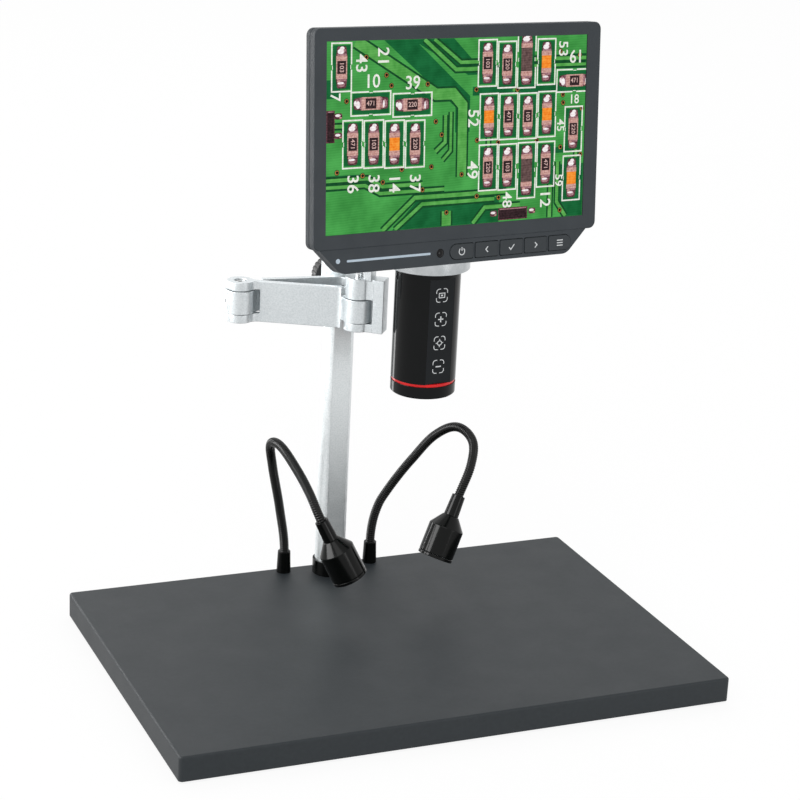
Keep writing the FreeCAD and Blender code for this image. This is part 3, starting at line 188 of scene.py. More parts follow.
def pick(piece, test, kind="FACE"):
    """Opens a piece in edit mode and selects the faces or edges whose middle and direction pass."""
    activate(piece)
    bpy.ops.object.mode_set(mode="EDIT")
    bpy.ops.mesh.select_mode(type=kind)
    bpy.ops.mesh.select_all(action="DESELECT")
    mesh = bmesh.from_edit_mesh(piece.data)
    mesh.normal_update()
    for part in (mesh.faces if kind == "FACE" else mesh.edges):
        if kind == "FACE":
            part.select_set(bool(test(part.calc_center_median(), part.normal)))
        else:
            a, b = (v.co for v in part.verts)
            part.select_set(bool(test((a + b) / 2, (b - a).normalized())))
    mesh.select_flush_mode()
    bmesh.update_edit_mesh(piece.data)


def apply_modifier(piece, kind, **settings):
    activate(piece)
    modifier = piece.modifiers.new(kind, kind)
    for name, value in settings.items():
        setattr(modifier, name, value)
    bpy.ops.object.modifier_apply(modifier=modifier.name)
    return piece


def soften(piece, width, segments=3, angle=32):
    """Rounds the edges, and shades the faces smooth up to what is still an edge."""
    if width:
        apply_modifier(piece, "BEVEL", width=width, segments=segments, limit_method="ANGLE",
                       angle_limit=math.radians(angle), miter_outer="MITER_ARC", use_clamp_overlap=True)
    activate(piece)
    bpy.ops.object.shade_smooth_by_angle(angle=math.radians(40))
    return apply_modifier(piece, "WEIGHTED_NORMAL", keep_sharp=True, weight=60)


def stand(piece, place):
    """Sets a piece in its place in the assembly, with the place kept in its mesh."""
    activate(piece)
    piece.matrix_world = place
    bpy.ops.object.transform_apply(location=True, rotation=True, scale=True)
    return piece


def fit(piece, body, slot, *materials, replaces=()):
    """Finishes a piece: its materials, the body that it moves with and the CAD pieces it stands for."""
    for material in materials:
        piece.data.materials.append(material)
    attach(piece, body)
    if replaces:
        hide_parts(*replaces)
    return piece


def cut_away(piece, *cutters):
    """Cuts the shapes of the cutters out of a piece, and clears them away."""
    for cutter in cutters:
        apply_modifier(piece, "BOOLEAN", operation="DIFFERENCE", object=cutter, solver="EXACT")
        bpy.data.objects.remove(cutter)
    return piece


def start_material(name):
    """A new material, with its tree and its shader."""
    material = bpy.data.materials.new(name)
    material.use_nodes = True
    return material, material.node_tree, material.node_tree.nodes["Principled BSDF"]


def set_values(shader, **values):
    """Sets values that are the same all over, on the shader's own sockets."""
    for name, value in values.items():
        shader.inputs[name.replace("_", " ")].default_value = value


def add_grain(tree, shader, grain, depth, stretch):
    """A fine relief all over: grain and depth in millimetres."""
    place = add_node(tree, "TexCoord")
    scaled = add_node(tree, "Mapping", values={"Scale": stretch}, links={"Vector": place.outputs["Object"]})
    noise = add_node(tree, "TexNoise", values={"Scale": 1000 / grain, "Detail": 2.0, "Roughness": 0.55},
                     links={"Vector": scaled.outputs[0]})
    bump = add_node(tree, "Bump", values={"Strength": 1.0, "Distance": depth * mm},
                    links={"Height": noise.outputs[0]})
    tree.links.new(bump.outputs[0], shader.inputs["Normal"])


def add_tone(tree, shader, socket, dark, light, size, detail=3.0, low=0.3, high=0.7):
    """Slow variation of a colour or of the roughness, over patches of a size in millimetres."""
    place = add_node(tree, "TexCoord")
    noise = add_node(tree, "TexNoise", values={"Scale": 1000 / size, "Detail": detail},
                     links={"Vector": place.outputs["Object"]})
    if isinstance(dark, str):
        ramp = add_node(tree, "ValToRGB", links={0: noise.outputs[0]})
        ramp.color_ramp.elements[0].position = low
        ramp.color_ramp.elements[0].color = linear(dark)
        ramp.color_ramp.elements[1].position = high
        ramp.color_ramp.elements[1].color = linear(light)
        tree.links.new(ramp.outputs[0], shader.inputs[socket])
    else:
        spread = add_node(tree, "MapRange", values={1: low, 2: high, 3: dark, 4: light},
                          links={0: noise.outputs[0]})
        tree.links.new(spread.outputs[0], shader.inputs[socket])


def surface(name, colours, roughness, grain=None, stretch=(1, 1, 1), **values):
    """A material. Colours: dark, light and the size of patches in millimetres. Roughness: one value,
    or low, high and the size of patches. Grain: its size and depth in millimetres."""
    material, tree, shader = start_material(name)
    add_tone(tree, shader, "Base Color", *colours)
    if isinstance(roughness, tuple):
        add_tone(tree, shader, "Roughness", *roughness)
    else:
        set_values(shader, Roughness=roughness)
    set_values(shader, **values)
    if grain:
        add_grain(tree, shader, *grain, stretch)
    return material


def coat(material, *nodes):
    """Gives its material to each CAD piece that is shown as it is."""
    for node in nodes:
        finish = frame["nodes"][node].data.materials
        finish.clear()
        finish.append(material)


# Polyester powder coat on steel: fine orange peel, dull sheen
powder_coat = surface("powder_coat_black", ("#22282c", "#282e32", 3, 3.0, 0.2, 0.8), (0.52, 0.57, 25),
                      (0.9, 0.035), Specular_IOR_Level=0.36)

sheet_thickness = 2.0 * mm
pan_low, pan_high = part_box("base_pan")
base_plate = begin("cube", "base_plate", size=1, location=(pan_low + pan_high) / 2, scale=pan_high - pan_low)
pick(base_plate, lambda middle, along: abs(along.z) > 0.9, "EDGE")
bpy.ops.mesh.bevel(offset=2.8 * mm, segments=7, affect="EDGES")
pick(base_plate, lambda middle, along: middle.z > pan_high.z - 0.01 * mm, "EDGE")
bpy.ops.mesh.bevel(offset=1.6 * mm, segments=4, affect="EDGES")
pick(base_plate, lambda middle, normal: normal.z < -0.9)
bpy.ops.mesh.inset(thickness=sheet_thickness)
bpy.ops.mesh.extrude_region_move(TRANSFORM_OT_translate={"value": (0, 0, 1.6 * mm)})
activate(base_plate)
jack_low, jack_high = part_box("lamp_power_jack")
jack_middle = (jack_low + jack_high) / 2
jack_opening = begin("cube", "jack_opening", size=1, scale=(9.2 * mm, 12 * mm, 6.2 * mm),
                     location=(jack_middle.x, pan_high.y, jack_middle.z + 0.25 * mm))
cut_away(base_plate, jack_opening)
soften(base_plate, 0)
fit(base_plate, "base", "powder_black", powder_coat, replaces=["base_pan"])
coat(powder_coat, "base_cover")

# Moulded rubber: dull, slightly dusty black
rubber = surface("moulded_rubber", ("#1c1c1c", "#252525", 6), 0.85, (0.5, 0.03), Specular_IOR_Level=0.3)
foot_low, foot_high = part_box("base_feet")


def draw(name, points):
    """Starts a piece as a line drawn from point to point, in edit mode and all selected."""
    piece = begin("plane", name, size=mm)
    bpy.ops.object.mode_set(mode="EDIT")
    bpy.ops.mesh.select_mode(type="VERT")
    bpy.ops.mesh.select_all(action="SELECT")
    bpy.ops.mesh.merge(type="CENTER")
    bpy.ops.transform.translate(value=[side * mm for side in points[0]])
    for here, there in zip(points, points[1:]):
        step = [(b - a) * mm for a, b in zip(here, there)]
        bpy.ops.mesh.extrude_vertices_move(TRANSFORM_OT_translate={"value": step})
    bpy.ops.mesh.select_all(action="SELECT")
    return piece


def turn(name, outline, steps=72):
    """A turned piece: its outline of radius and height is drawn edge by edge, then spun."""
    piece = draw(name, [(radius, 0, height) for radius, height in outline])
    bpy.ops.mesh.spin(steps=steps, angle=math.tau, center=(0, 0, 0), axis=(0, 0, 1))
    bpy.ops.mesh.select_all(action="SELECT")
    bpy.ops.mesh.remove_doubles(threshold=0.5e-6)
    bpy.ops.mesh.normals_make_consistent(inside=False)
    bpy.ops.object.mode_set(mode="OBJECT")
    return piece


def turned(name, outline, steps, edge, place, body, slot, material, replaces, segments=3, angle=32):
    """A turned piece with its edges broken, in its place and finished."""
    piece = turn(name, outline, steps)
    soften(piece, edge, segments, angle)
    stand(piece, place)
    return fit(piece, body, slot, material, replaces=replaces)


foot_radius = 9.0
for index, (x, y) in enumerate(((foot_low.x, foot_low.y), (foot_high.x, foot_low.y),
                                (foot_low.x, foot_high.y), (foot_high.x, foot_high.y))):
    inwards = Vector((math.copysign(foot_radius * mm, -x), math.copysign(foot_radius * mm, -y - 0.005), 0))
    turned("rubber_foot_%d" % index, [(0, 0), (foot_radius - 0.6, 0), (foot_radius - 0.1, 0.4), (foot_radius, 1.5),
                                      (0, 1.5)], 48, 0, Matrix.Translation(Vector((x, y, 0)) + inwards), "base",
           "foot_rubber", rubber, ["base_feet"] if index == 0 else ())

# Zinc-plated steel screws
zinc = surface("zinc_plated_steel", ("#b4b7ba", "#c6c9cb", 3), (0.28, 0.4, 2), Metallic=1.0)
coat(zinc, "cover_screws", "column_bolt", "clamp_stud")

# Black moulded ABS of the inlet
inlet_plastic = surface("abs_black", ("#151516", "#1b1b1c", 8), 0.45, (0.35, 0.02))
coat(inlet_plastic, "lamp_power_jack")


# ---- Column --------------------------------------------------------------------------------------
# A D-section aluminium extrusion, blasted and clear anodised, standing in a turned black foot
# cup. A moulded cap closes its top, and a threaded plug and bolt hold it from below.

joints = {joint["name"]: joint for joint in frame["joints"]}

# Blasted, clear anodised aluminium: pale, even and satin, with a fine sparkle
anodised = surface("anodised_aluminium_blasted", ("#c1c7c9", "#d6dadc", 1.1, 4.0), (0.40, 0.48, 5),
                   (0.6, 0.035), Metallic=1.0)

# The same finish over the die lines of an extrusion, which run along it, in a paler copy: the column's lighter tone
# is painted light, not a different finish
extruded_painted_paler = surface("anodised_aluminium_extruded", ("#d2d8d9", "#e6e9ea", 1.1, 4.0), (0.38, 0.46, 6),
                   (0.5, 0.02), (1, 1, 0.03), Metallic=1.0)

# Black anodised aluminium: glossy and deep
black_anodised = surface("anodised_aluminium_black", ("#040605", "#070908", 9), (0.13, 0.17, 7), (0.4, 0.002),
                         Specular_IOR_Level=0.17)

column_low, column_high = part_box("column")
hinge_spot = Vector(joints["column_hinge"]["pos_m"])
hinge_to_axis = 28.56 * mm
column_radius, column_flat = 11.4, 9.2
column_axis = Vector((hinge_spot.x, hinge_spot.y + hinge_to_axis, column_low.z))
column_length = column_high.z - column_low.z


def d_bar(name, bottom, length, edge, segments, slot, material, node):
    """A length of the column's D section: round behind, with its flat to the front."""
    bar = begin("cylinder", name, vertices=120, radius=column_radius * mm, depth=length,
                location=column_axis + Vector((0, 0, bottom + length / 2)))
    pick(bar, lambda middle, normal: True)
    bpy.ops.mesh.bisect(plane_co=column_axis - Vector((0, column_flat * mm, 0)), plane_no=(0, -1, 0),
                        use_fill=True, clear_outer=True)
    activate(bar)
    soften(bar, edge, segments, angle=25)
    fit(bar, "base", slot, material, replaces=[node])


d_bar("column_bar", 0, column_length, 0.35 * mm, 3, "silver_aluminium", extruded_painted_paler, "column")
turned("foot_cup", [(11.45, 0), (13.0, 0), (13.0, 11.2), (12.1, 11.2), (12.1, 8.2), (11.45, 8.2), (11.45, 0)], 96,
       0.35 * mm, Matrix.Translation(column_axis), "base", "collar_metal", black_anodised, ["column_collar"])
d_bar("column_end_cap", column_length, 4 * mm, 0.9 * mm, 4, "black_plastic", inlet_plastic, "column_cap")
coat(anodised, "column_plug")


# ---- Gooseneck lamps -------------------------------------------------------------------------------
# Each lamp is a neck wound from steel wire, black oxided, between a turned socket on the base and
# a turned black sleeve. The head is a turned bell with a plain front ring and a frosted lens.

# Oxided wound steel: satin black, with a point of light on each turn
wound_steel = surface("wound_steel_black", ("#060706", "#0b0c0b", 4), (0.14, 0.2, 3), (0.4, 0.006),
                      Specular_IOR_Level=0.24)

# Moulded clear polycarbonate, frosted inside
frosted = surface("polycarbonate_frosted", ("#dfe3e6", "#eef1f3", 5), 0.25, (0.6, 0.02),
                  Transmission_Weight=0.35, IOR=1.58)

# White solder mask of the lamp boards
white_board = surface("solder_mask_white", ("#dcdcd6", "#e8e8e3", 4), 0.4)

socket_height = 16.7
held = 5.5 * mm
turn_spacing = 1.6 * mm
LAMPS = {
    "right": {
        "swivel": "lamp_right_swivel", "aim": (-0.414, -0.149, -0.898),
        "route": [(0, 0, 0), (1.3, -0.7, 17.3), (4.9, -2.7, 32), (9.4, -5.2, 41.8), (17.3, -10.7, 57.4),
                  (24.2, -16.5, 70.4), (35.9, -31.5, 94.1), (45.1, -50.5, 105.9), (49.4, -68.5, 100.8),
                  (44.1, -80, 87.4), (32.8, -86, 66)]},
    "left": {
        "swivel": "lamp_left_swivel", "aim": (0.431, -0.154, -0.889),
        "route": [(0, 0, 0), (-4.6, 0, 34.3), (-13.8, -6, 72.8), (-20.4, -20, 94.9), (-20.5, -40, 100.2),
                  (-16.5, -67, 89.9), (-12.5, -82, 77.8), (-6.7, -92, 60.2)]},
}


def neck_curve(name, start, route, aim):
    """The neck's centre line: a smooth curve through the route, straight where it is held."""
    points = [start + Vector(p) * mm for p in route]
    data = bpy.data.curves.new(name, "CURVE")
    data.dimensions = "3D"
    data.resolution_u = 48
    spline = data.splines.new("BEZIER")
    spline.bezier_points.add(len(points) + 1)
    points = [points[0] - Vector((0, 0, held))] + points + [points[-1] + aim * held]
    for knot, point in zip(spline.bezier_points, points):
        knot.co = point
    for index, knot in enumerate(spline.bezier_points):
        if 1 < index < len(points) - 2:
            before = points[index] - points[index - 1]
            after = points[index + 1] - points[index]
            heading = (before / before.length ** 0.5 + after / after.length ** 0.5).normalized()
            back, ahead = before.length / 3, after.length / 3
        else:
            heading = Vector((0, 0, 1)) if index <= 1 else aim
            back = (points[index] - points[index - 1]).length / 3 if index else held / 3
            ahead = (points[index + 1] - points[index]).length / 3 if index < len(points) - 1 else held / 3
        knot.handle_left_type = knot.handle_right_type = "FREE"
        knot.handle_left = knot.co - heading * back
        knot.handle_right = knot.co + heading * ahead
    line = bpy.data.objects.new(name, data)
    bpy.context.scene.collection.objects.link(line)
    return line


for name, lamp in LAMPS.items():
    body = "lamp_" + name
    aim = Vector(lamp["aim"]).normalized()
    socket_top = Vector(joints[lamp["swivel"]]["pos_m"])
    line = neck_curve("route_" + name, socket_top, lamp["route"], aim)
    length = line.data.splines[0].calc_length()
    turns = round(length / turn_spacing)
    pitch = length / turns / mm
    neck = turn("gooseneck_" + name, [(3.05, 0), (3.38, 0.16 * pitch), (3.5, 0.36 * pitch), (3.42, 0.6 * pitch),
                                      (3.08, 0.86 * pitch), (3.05, pitch)], 28)
    apply_modifier(neck, "ARRAY", count=turns, use_relative_offset=False, use_constant_offset=True,
                   constant_offset_displace=(0, 0, pitch * mm), use_merge_vertices=True, merge_threshold=2e-6)
    apply_modifier(neck, "CURVE", object=line, deform_axis="POS_Z")
    bpy.data.objects.remove(line)
    activate(neck)
    bpy.ops.object.shade_smooth()
    fit(neck, body, "neck_black", wound_steel, replaces=["neck_" + name])

    end = socket_top + Vector(lamp["route"][-1]) * mm
    across = Vector((1, 0, 0)) if name == "right" else Vector((-1, 0, 0))
    behind = aim.cross(across).normalized()
    lamp_place = Matrix.Translation(end) @ Matrix((behind.cross(aim), behind, aim)).transposed().to_4x4()
    for part, outline, steps, edge, segments, node in (
            ("lamp_sleeve_tube_", [(3.6, 3.0), (3.6, 0), (4.9, 0), (5.5, 15.7), (3.6, 15.7), (3.6, 3.0)], 64, 0.22,
             3, "lamp_sleeve_"),
            ("lamp_bell_", [(3.3, 15.75), (6.0, 15.75), (13.0, 24.9), (13.0, 46.0), (11.5, 46.0), (11.5, 26.0),
                            (5.1, 17.4), (3.3, 17.4), (3.3, 15.75)], 96, 0.45, 4, "lamp_head_"),
            ("lamp_front_ring_", [(11.1, 46.2), (13.0, 46.2), (13.0, 48.5), (11.1, 48.5), (11.1, 46.2)], 96, 0.4,
             4, "lamp_ring_")):
        turned(part + name, outline, steps, edge * mm, lamp_place, body, "lamp_black", black_anodised,
               [node + name], segments)
    turned("lamp_window_" + name, [(0, 44.1), (11.4, 44.1), (11.4, 46.1), (10.3, 46.1), (9.1, 47.1), (4.3, 47.6),
                                   (0, 47.7)], 72, 0, lamp_place, body, "frosted", frosted, ["lamp_lens_" + name])
    coat(white_board, "lamp_led_" + name)
    turned("lamp_socket_" + name, [(3.6, 10.3), (3.6, socket_height), (4.8, socket_height), (5.4, 0), (3.4, 0),
                                   (3.4, -5.0), (1.9, -5.0), (1.9, 10.3), (3.6, 10.3)], 64, 0.25 * mm,
           Matrix.Translation((socket_top.x, socket_top.y, pan_high.z)), "base", "collar_metal", black_anodised,
           ["lamp_sockets"])


# ---- Carriage --------------------------------------------------------------------------------------
# The clamp that slides on the column is milled from aluminium bar, blasted and anodised, with a
# knuckle for the arm in front. A ribbed black knob drives a steel stud and a nylon pad behind.

def milled(node, name, width, segments=2, angle=30):
    """A milled piece from its CAD solid: facets merged back into faces, and every edge broken."""
    activate(frame["nodes"][node])
    bpy.ops.object.duplicate()
    piece = bpy.context.object
    piece.name = name
    piece.parent = None
    del piece["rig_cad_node"]
    piece.data.materials.clear()
    bpy.ops.object.mode_set(mode="EDIT")
    bpy.ops.mesh.select_all(action="SELECT")
    bpy.ops.mesh.remove_doubles(threshold=1e-6)
    bpy.ops.mesh.dissolve_limited(angle_limit=math.radians(1.0))
    bpy.ops.mesh.normals_make_consistent(inside=False)
    bpy.ops.object.mode_set(mode="OBJECT")
    if width:
        apply_modifier(piece, "BEVEL", width=width, segments=segments, limit_method="ANGLE",
                       angle_limit=math.radians(angle), use_clamp_overlap=False)
    activate(piece)
    bpy.ops.object.shade_smooth_by_angle(angle=math.radians(35))
    return apply_modifier(piece, "WEIGHTED_NORMAL", keep_sharp=True, weight=60)


carriage = milled("carriage_block", "clamp_carriage", 0.4 * mm)
fit(carriage, "carriage", "silver_aluminium", anodised, replaces=["carriage_block"])

# Natural nylon
nylon = surface("nylon_natural", ("#d6d2c4", "#e0dcd0", 4), 0.5, Subsurface_Weight=0.1)
coat(nylon, "clamp_pad")

# Moulded black nylon of the grips, satin
grip_plastic = surface("nylon_black_moulded", ("#131314", "#19191a", 7), (0.36, 0.46, 4), (0.3, 0.015))
knob = milled("clamp_knob", "ribbed_knob", 0.3 * mm)
fit(knob, "clamp_knob", "black_plastic", grip_plastic, replaces=["clamp_knob"])


# ---- Arm -------------------------------------------------------------------------------------------
# Two alike milled aluminium links, each with a fork at one end and a knuckle at the other, on
# steel pins with socket heads, blasted and clear anodised.

for node, name, body in (("rear_link", "rear_arm", "rear_link"), ("front_link", "front_arm", "front_link"),
                         ("wrist_bracket", "wrist_block", "bracket")):
    arm = milled(node, name, 0.4 * mm)
    fit(arm, body, "silver_aluminium", anodised, replaces=[node])

# Nickel-plated steel pins: bright and smooth
nickel = surface("nickel_plated_steel", ("#c3c4c4", "#d2d3d3", 3), (0.18, 0.28, 2), Metallic=1.0)
for node, name, body in (("column_hinge_pin", "column_pin", "rear_link"), ("elbow_pin", "elbow_bolt", "front_link"),
                         ("wrist_pin", "wrist_post", "bracket"), ("holder_screws", "holder_bolts", "bracket")):
    pin = milled(node, name, 0.15 * mm)
    fit(pin, body, "screw_steel", nickel, replaces=[node])

# Black-oxided set screw
oxided = surface("black_oxide_steel", ("#1b1b1c", "#262627", 2), 0.4, Metallic=0.8)
coat(oxided, "elbow_set_screw")

# Turned aluminium: bright rings of tool marks round the holder, which catch the light
turned_aluminium = surface("aluminium_turned", ("#aeb2b4", "#c0c3c5", 7), 0.22, (0.5, 0.02), (0.02, 0.02, 1),
                           Metallic=1.0)
holder = milled("holder_ring", "scope_holder", 0.5 * mm, 3)
fit(holder, "bracket", "silver_aluminium", turned_aluminium, replaces=["holder_ring"])
thumb = milled("ring_thumbscrew", "thumbscrew", 0.3 * mm)
fit(thumb, "ring_screw", "screw_steel", nickel, replaces=["ring_thumbscrew"])


# ---- Scope -----------------------------------------------------------------------------------------
# A black aluminium tube with a flat glass touch strip, a red ring, and a black front ring round
# the lens and its ring of lamps. Boards and lenses sit inside, and a moulded cap carries the hinge.

scope_foot = Vector(joints["scope_turn"]["pos_m"])
scope_yaw = math.radians(11.85)
strip_turn = math.radians(-6)
scope_place = Matrix.Translation(scope_foot) @ Matrix.Rotation(scope_yaw, 4, "Z")
strip_place = Matrix.Translation(scope_foot) @ Matrix.Rotation(scope_yaw + strip_turn, 4, "Z")
tube_radius, tube_flat, tube_foot = 23.0, 20.7, 10.8
strip_half = math.sqrt(tube_radius ** 2 - tube_flat ** 2)

# Gloss black lacquer on aluminium
lacquer = surface("lacquer_black_gloss", ("#080a0b", "#0b0d0e", 10), (0.07, 0.11, 8), (3.0, 0.002),
                  Specular_IOR_Level=0.15)

# Black-backed acrylic of the touch strip
touch_glass = surface("acrylic_black_backed", ("#12161a", "#171b1e", 14), 0.28, (0.5, 0.003),
                      Specular_IOR_Level=0.16)

# White silk-screened ink
white_ink = surface("ink_white", ("#dfe2e4", "#eceff0", 2), 0.5)

# Red anodised ring under its clear coat, with a faint painted glow: a red emission makes it brighter than the lamps
# alone light it
red_ring_painted_glow = surface("anodised_aluminium_red", ("#d01015", "#e61a1a", 5), 0.3, (0.6, 0.01), (1, 1, 0.2),
                       Metallic=0.2, Coat_Weight=0.3, Coat_Roughness=0.12, Emission_Strength=0.06,
                       Emission_Color=linear("#e01010"), Specular_IOR_Level=0.2)

tube = turn("scope_barrel", [(18.5, tube_foot), (tube_radius, tube_foot), (tube_radius, 132.4), (18.5, 132.4),
                             (18.5, tube_foot)], 144)
flat = begin("cube", "strip_cut", size=1, location=(0, (-tube_flat - 2) * mm, (tube_foot + 37.99 - 1) * mm),
             scale=(50 * mm, 4 * mm, 77.98 * mm))
stand(flat, Matrix.Rotation(strip_turn, 4, "Z"))
cut_away(tube, flat)
soften(tube, 0.25 * mm, 3, angle=20)
stand(tube, scope_place)
fit(tube, "scope", "scope_black", lacquer, replaces=["scope_tube"])

strip = begin("cube", "touch_strip", size=1, location=(0, -20.72 * mm, (10.9 + 37.95) * mm),
              scale=((2 * strip_half - 0.7) * mm, 0.16 * mm, 75.8 * mm))
soften(strip, 0.06 * mm, 2)
stand(strip, strip_place)
fit(strip, "scope", "panel_gloss", touch_glass, replaces=["touch_panel"])

turned("red_ring", [(18.5, 8.8), (22.4, 8.8), (22.5, 9.8), (22.4, 10.8), (18.5, 10.8), (18.5, 8.8)], 144, 0,
       scope_place, "scope", "accent_red", red_ring_painted_glow, ["accent_ring"])
turned("lens_ring", [(18.6, 0.6), (19.6, 0), (22.0, 0), (23.0, 1.0), (23.0, 8.8), (18.5, 8.8), (18.5, 2.1),
                     (18.6, 0.6)], 144, 0.3 * mm, scope_place, "scope", "scope_black", lacquer, ["front_ring"],
       angle=25)

# The lens's coated glass, with a violet-green bloom
coated_glass = surface("optical_glass_coated", ("#8f9fd0", "#a9c9b8", 5), 0.02, IOR=1.52,
                       Transmission_Weight=0.85)
diffuser_plastic = surface("acrylic_opal", ("#e6e9ea", "#f2f4f4", 6), 0.35, Subsurface_Weight=0.2)
barrel_black = surface("anodised_aluminium_matte_black", ("#121213", "#18181a", 5), 0.5, (0.4, 0.01))
green_board = surface("solder_mask_green", ("#0f4a26", "#15602f", 3), 0.35)
coat(diffuser_plastic, "light_diffuser")
coat(white_board, "led_ring_board")
coat(barrel_black, "lens_barrel", "focus_cell")
coat(coated_glass, "objective_lens")
coat(green_board, "sensor_board", "main_board")

scope_cap = milled("scope_cap", "scope_end_cap", 0.5 * mm, 3)
fit(scope_cap, "scope", "black_plastic", grip_plastic, replaces=["scope_cap"])


def rounded(corners, radii, steps=6):
    """The points round an outline whose corners are rounded; one radius for all, or one each."""
    radii = radii if isinstance(radii, (list, tuple)) else [radii] * len(corners)
    points = []
    for index, corner in enumerate(corners):
        here = Vector(corner)
        before = (Vector(corners[index - 1]) - here).normalized()
        after = (Vector(corners[(index + 1) % len(corners)]) - here).normalized()
        if radii[index] <= 0:
            points.append(here)
            continue
        half = before.angle(after) / 2
        centre = here + (before + after).normalized() * radii[index] / math.sin(half)
        first = here + before * radii[index] / math.tan(half) - centre
        last = here + after * radii[index] / math.tan(half) - centre
        for step in range(steps + 1):
            share = step / steps
            points.append(centre + first.slerp(last, share).normalized() * radii[index])
    return [(p.x, p.y) for p in points]


def cut_sheet(name, outline, thickness):
    """A flat piece: its outline in X and Y is drawn corner by corner, filled, and raised along Z."""
    piece = draw(name, [(x, y, 0) for x, y in outline])
    bpy.ops.mesh.edge_face_add()
    bpy.ops.mesh.extrude_region_move(TRANSFORM_OT_translate={"value": (0, 0, thickness * mm)})
    bpy.ops.mesh.select_all(action="SELECT")
    bpy.ops.mesh.normals_make_consistent(inside=False)
    bpy.ops.object.mode_set(mode="OBJECT")
    return piece


def join(name, pieces):
    """Makes one piece of several."""
    activate(pieces[0])
    for piece in pieces:
        piece.select_set(True)
    bpy.ops.object.join()
    pieces[0].name = name
    return pieces[0]


def stroke(points, width):
    """The outline of a line of some width through points, with mitred corners."""
    left, right = [], []
    for index, point in enumerate(points):
        here = Vector(point)
        before = (here - Vector(points[index - 1])).normalized() if index else None
        after = (Vector(points[index + 1]) - here).normalized() if index < len(points) - 1 else None
        before = before or after
        after = after or before
        normal = Vector((-(before + after).y, (before + after).x)).normalized()
        reach = width / 2 / max(0.3, normal.dot(Vector((-before.y, before.x))))
        left.append(here + normal * reach)
        right.append(here - normal * reach)
    return [(p.x, p.y) for p in left + right[::-1]]


# Sheets are cut lying down, with their outline in X and Y: this stands them up, facing forward
to_front = Matrix.Rotation(math.radians(90), 4, "X")


def corner_marks(half_width, half_height, reach, width):
    """Four rounded corner brackets round an icon."""
    marks = []
    radius = 1.9
    for sx in (-1, 1):
        for sy in (-1, 1):
            arc = [(half_width - reach, half_height)]
            for step in range(5):
                angle = math.radians(90 - 22.5 * step)
                arc.append((half_width - radius + radius * math.cos(angle),
                            half_height - radius + radius * math.sin(angle)))
            arc.append((half_width, half_height - reach))
            marks.append(stroke([(sx * x, sy * y) for x, y in arc], width))
    return marks


def ring_outline(radius, width, start=0, end=360, steps=28):
    """The outline of a ring, or of a part of one between two angles."""
    points = []
    for step in range(steps + 1):
        angle = math.radians(start + (end - start) * step / steps)
        points.append((radius * math.cos(angle), radius * math.sin(angle)))
    return stroke(points, width)


# From the top: a frame, plus, a target and minus
ICONS = [
    [stroke([(-2.2, -1.6), (-2.2, 1.6), (2.2, 1.6), (2.2, -1.6), (-2.25, -1.6)], 0.6),
     stroke([(-0.8, 0.0), (0.8, 0.0)], 1.1)],
    [stroke([(-2.1, 0), (2.1, 0)], 0.85), stroke([(0, -2.1), (0, 2.1)], 0.85)],
    [ring_outline(1.6, 0.6), stroke([(-2.9, 0), (-1.6, 0)], 0.6), stroke([(1.6, 0), (2.9, 0)], 0.6),
     stroke([(0, 1.6), (0, 2.9)], 0.6), stroke([(0, -2.9), (0, -1.6)], 0.6)],
    [stroke([(-2.1, 0), (2.1, 0)], 0.85)],
]
for index, (lift, shapes) in enumerate(zip((75.0, 57.8, 40.6, 23.4), ICONS)):
    inked = [cut_sheet("ink", outline, 0.03) for outline in shapes + corner_marks(4.3, 4.7, 3.2, 0.55)]
    icon = join("touch_icon_%d" % index, inked)
    stand(icon, strip_place @ Matrix.Translation((0, -20.8 * mm, lift * mm)) @ to_front)
    fit(icon, "scope", "light_white", white_ink)


# ---- Display ---------------------------------------------------------------------------------------
# A moulded ABS frame with a key bar under it, an LCD behind, a back cover with vents, and a steel
# tilt hinge. The fine matte texture is moulded in, and the legends are printed.

tilt_spot = Vector(joints["display_tilt"]["pos_m"])
display_x = Vector(joints["display_tilt"]["axis"]).normalized()
display_y = Vector(joints["key_power_press"]["axis"]).normalized()
display_z = display_x.cross(display_y)
display_turn = Matrix((display_x, display_y, display_z)).transposed()
hinge_from_picture = Vector((2.5, 34.4, -30.3)) * mm
display_spot = tilt_spot - display_turn @ hinge_from_picture
display_place = Matrix.Translation(display_spot) @ display_turn.to_4x4()

# Moulded ABS, dark grey, spark-eroded texture
abs_grey = surface("abs_dark_grey_textured", ("#32383d", "#373d42", 30), (0.5, 0.58, 10), (0.5, 0.02),
                   Specular_IOR_Level=0.32)

# Keys: the same plastic, a little darker, and smoother from wear
abs_keys = surface("abs_dark_grey_keys", ("#2f3539", "#34393d", 12), (0.42, 0.5, 6), (0.4, 0.015),
                   Specular_IOR_Level=0.3)

# The opening of the picture and the frame's four sides, in millimetres from the picture's middle
ACTIVE = (213.8, 125.6)
LEFT = -ACTIVE[0] / 2 - 9.2
RIGHT = ACTIVE[0] / 2 + 11.8
LOW = -ACTIVE[1] / 2 - 9.7
HIGH = ACTIVE[1] / 2 + 8.5


def facing(piece, depth, x=0.0, z=0.0):
    """Stands a flat piece on the display, its top to the front, at a depth behind the face."""
    return stand(piece, display_place @ Matrix.Translation((x * mm, depth * mm, z * mm)) @ to_front)


bezel = cut_sheet("display_frame", rounded([(LEFT, LOW), (RIGHT, LOW), (RIGHT, HIGH), (LEFT, HIGH)], 5.0), 6.0)
apply_modifier(bezel, "BEVEL", width=0.9 * mm, segments=4, limit_method="ANGLE", angle_limit=math.radians(40))
opening = begin("cube", "picture_opening", size=1, location=(0, 0, 3 * mm),
                scale=(ACTIVE[0] * mm, ACTIVE[1] * mm, 20 * mm))
cut_away(bezel, opening)
soften(bezel, 0)
facing(bezel, 6.0)
fit(bezel, "display", "display_grey", abs_grey, replaces=["display_bezel"])

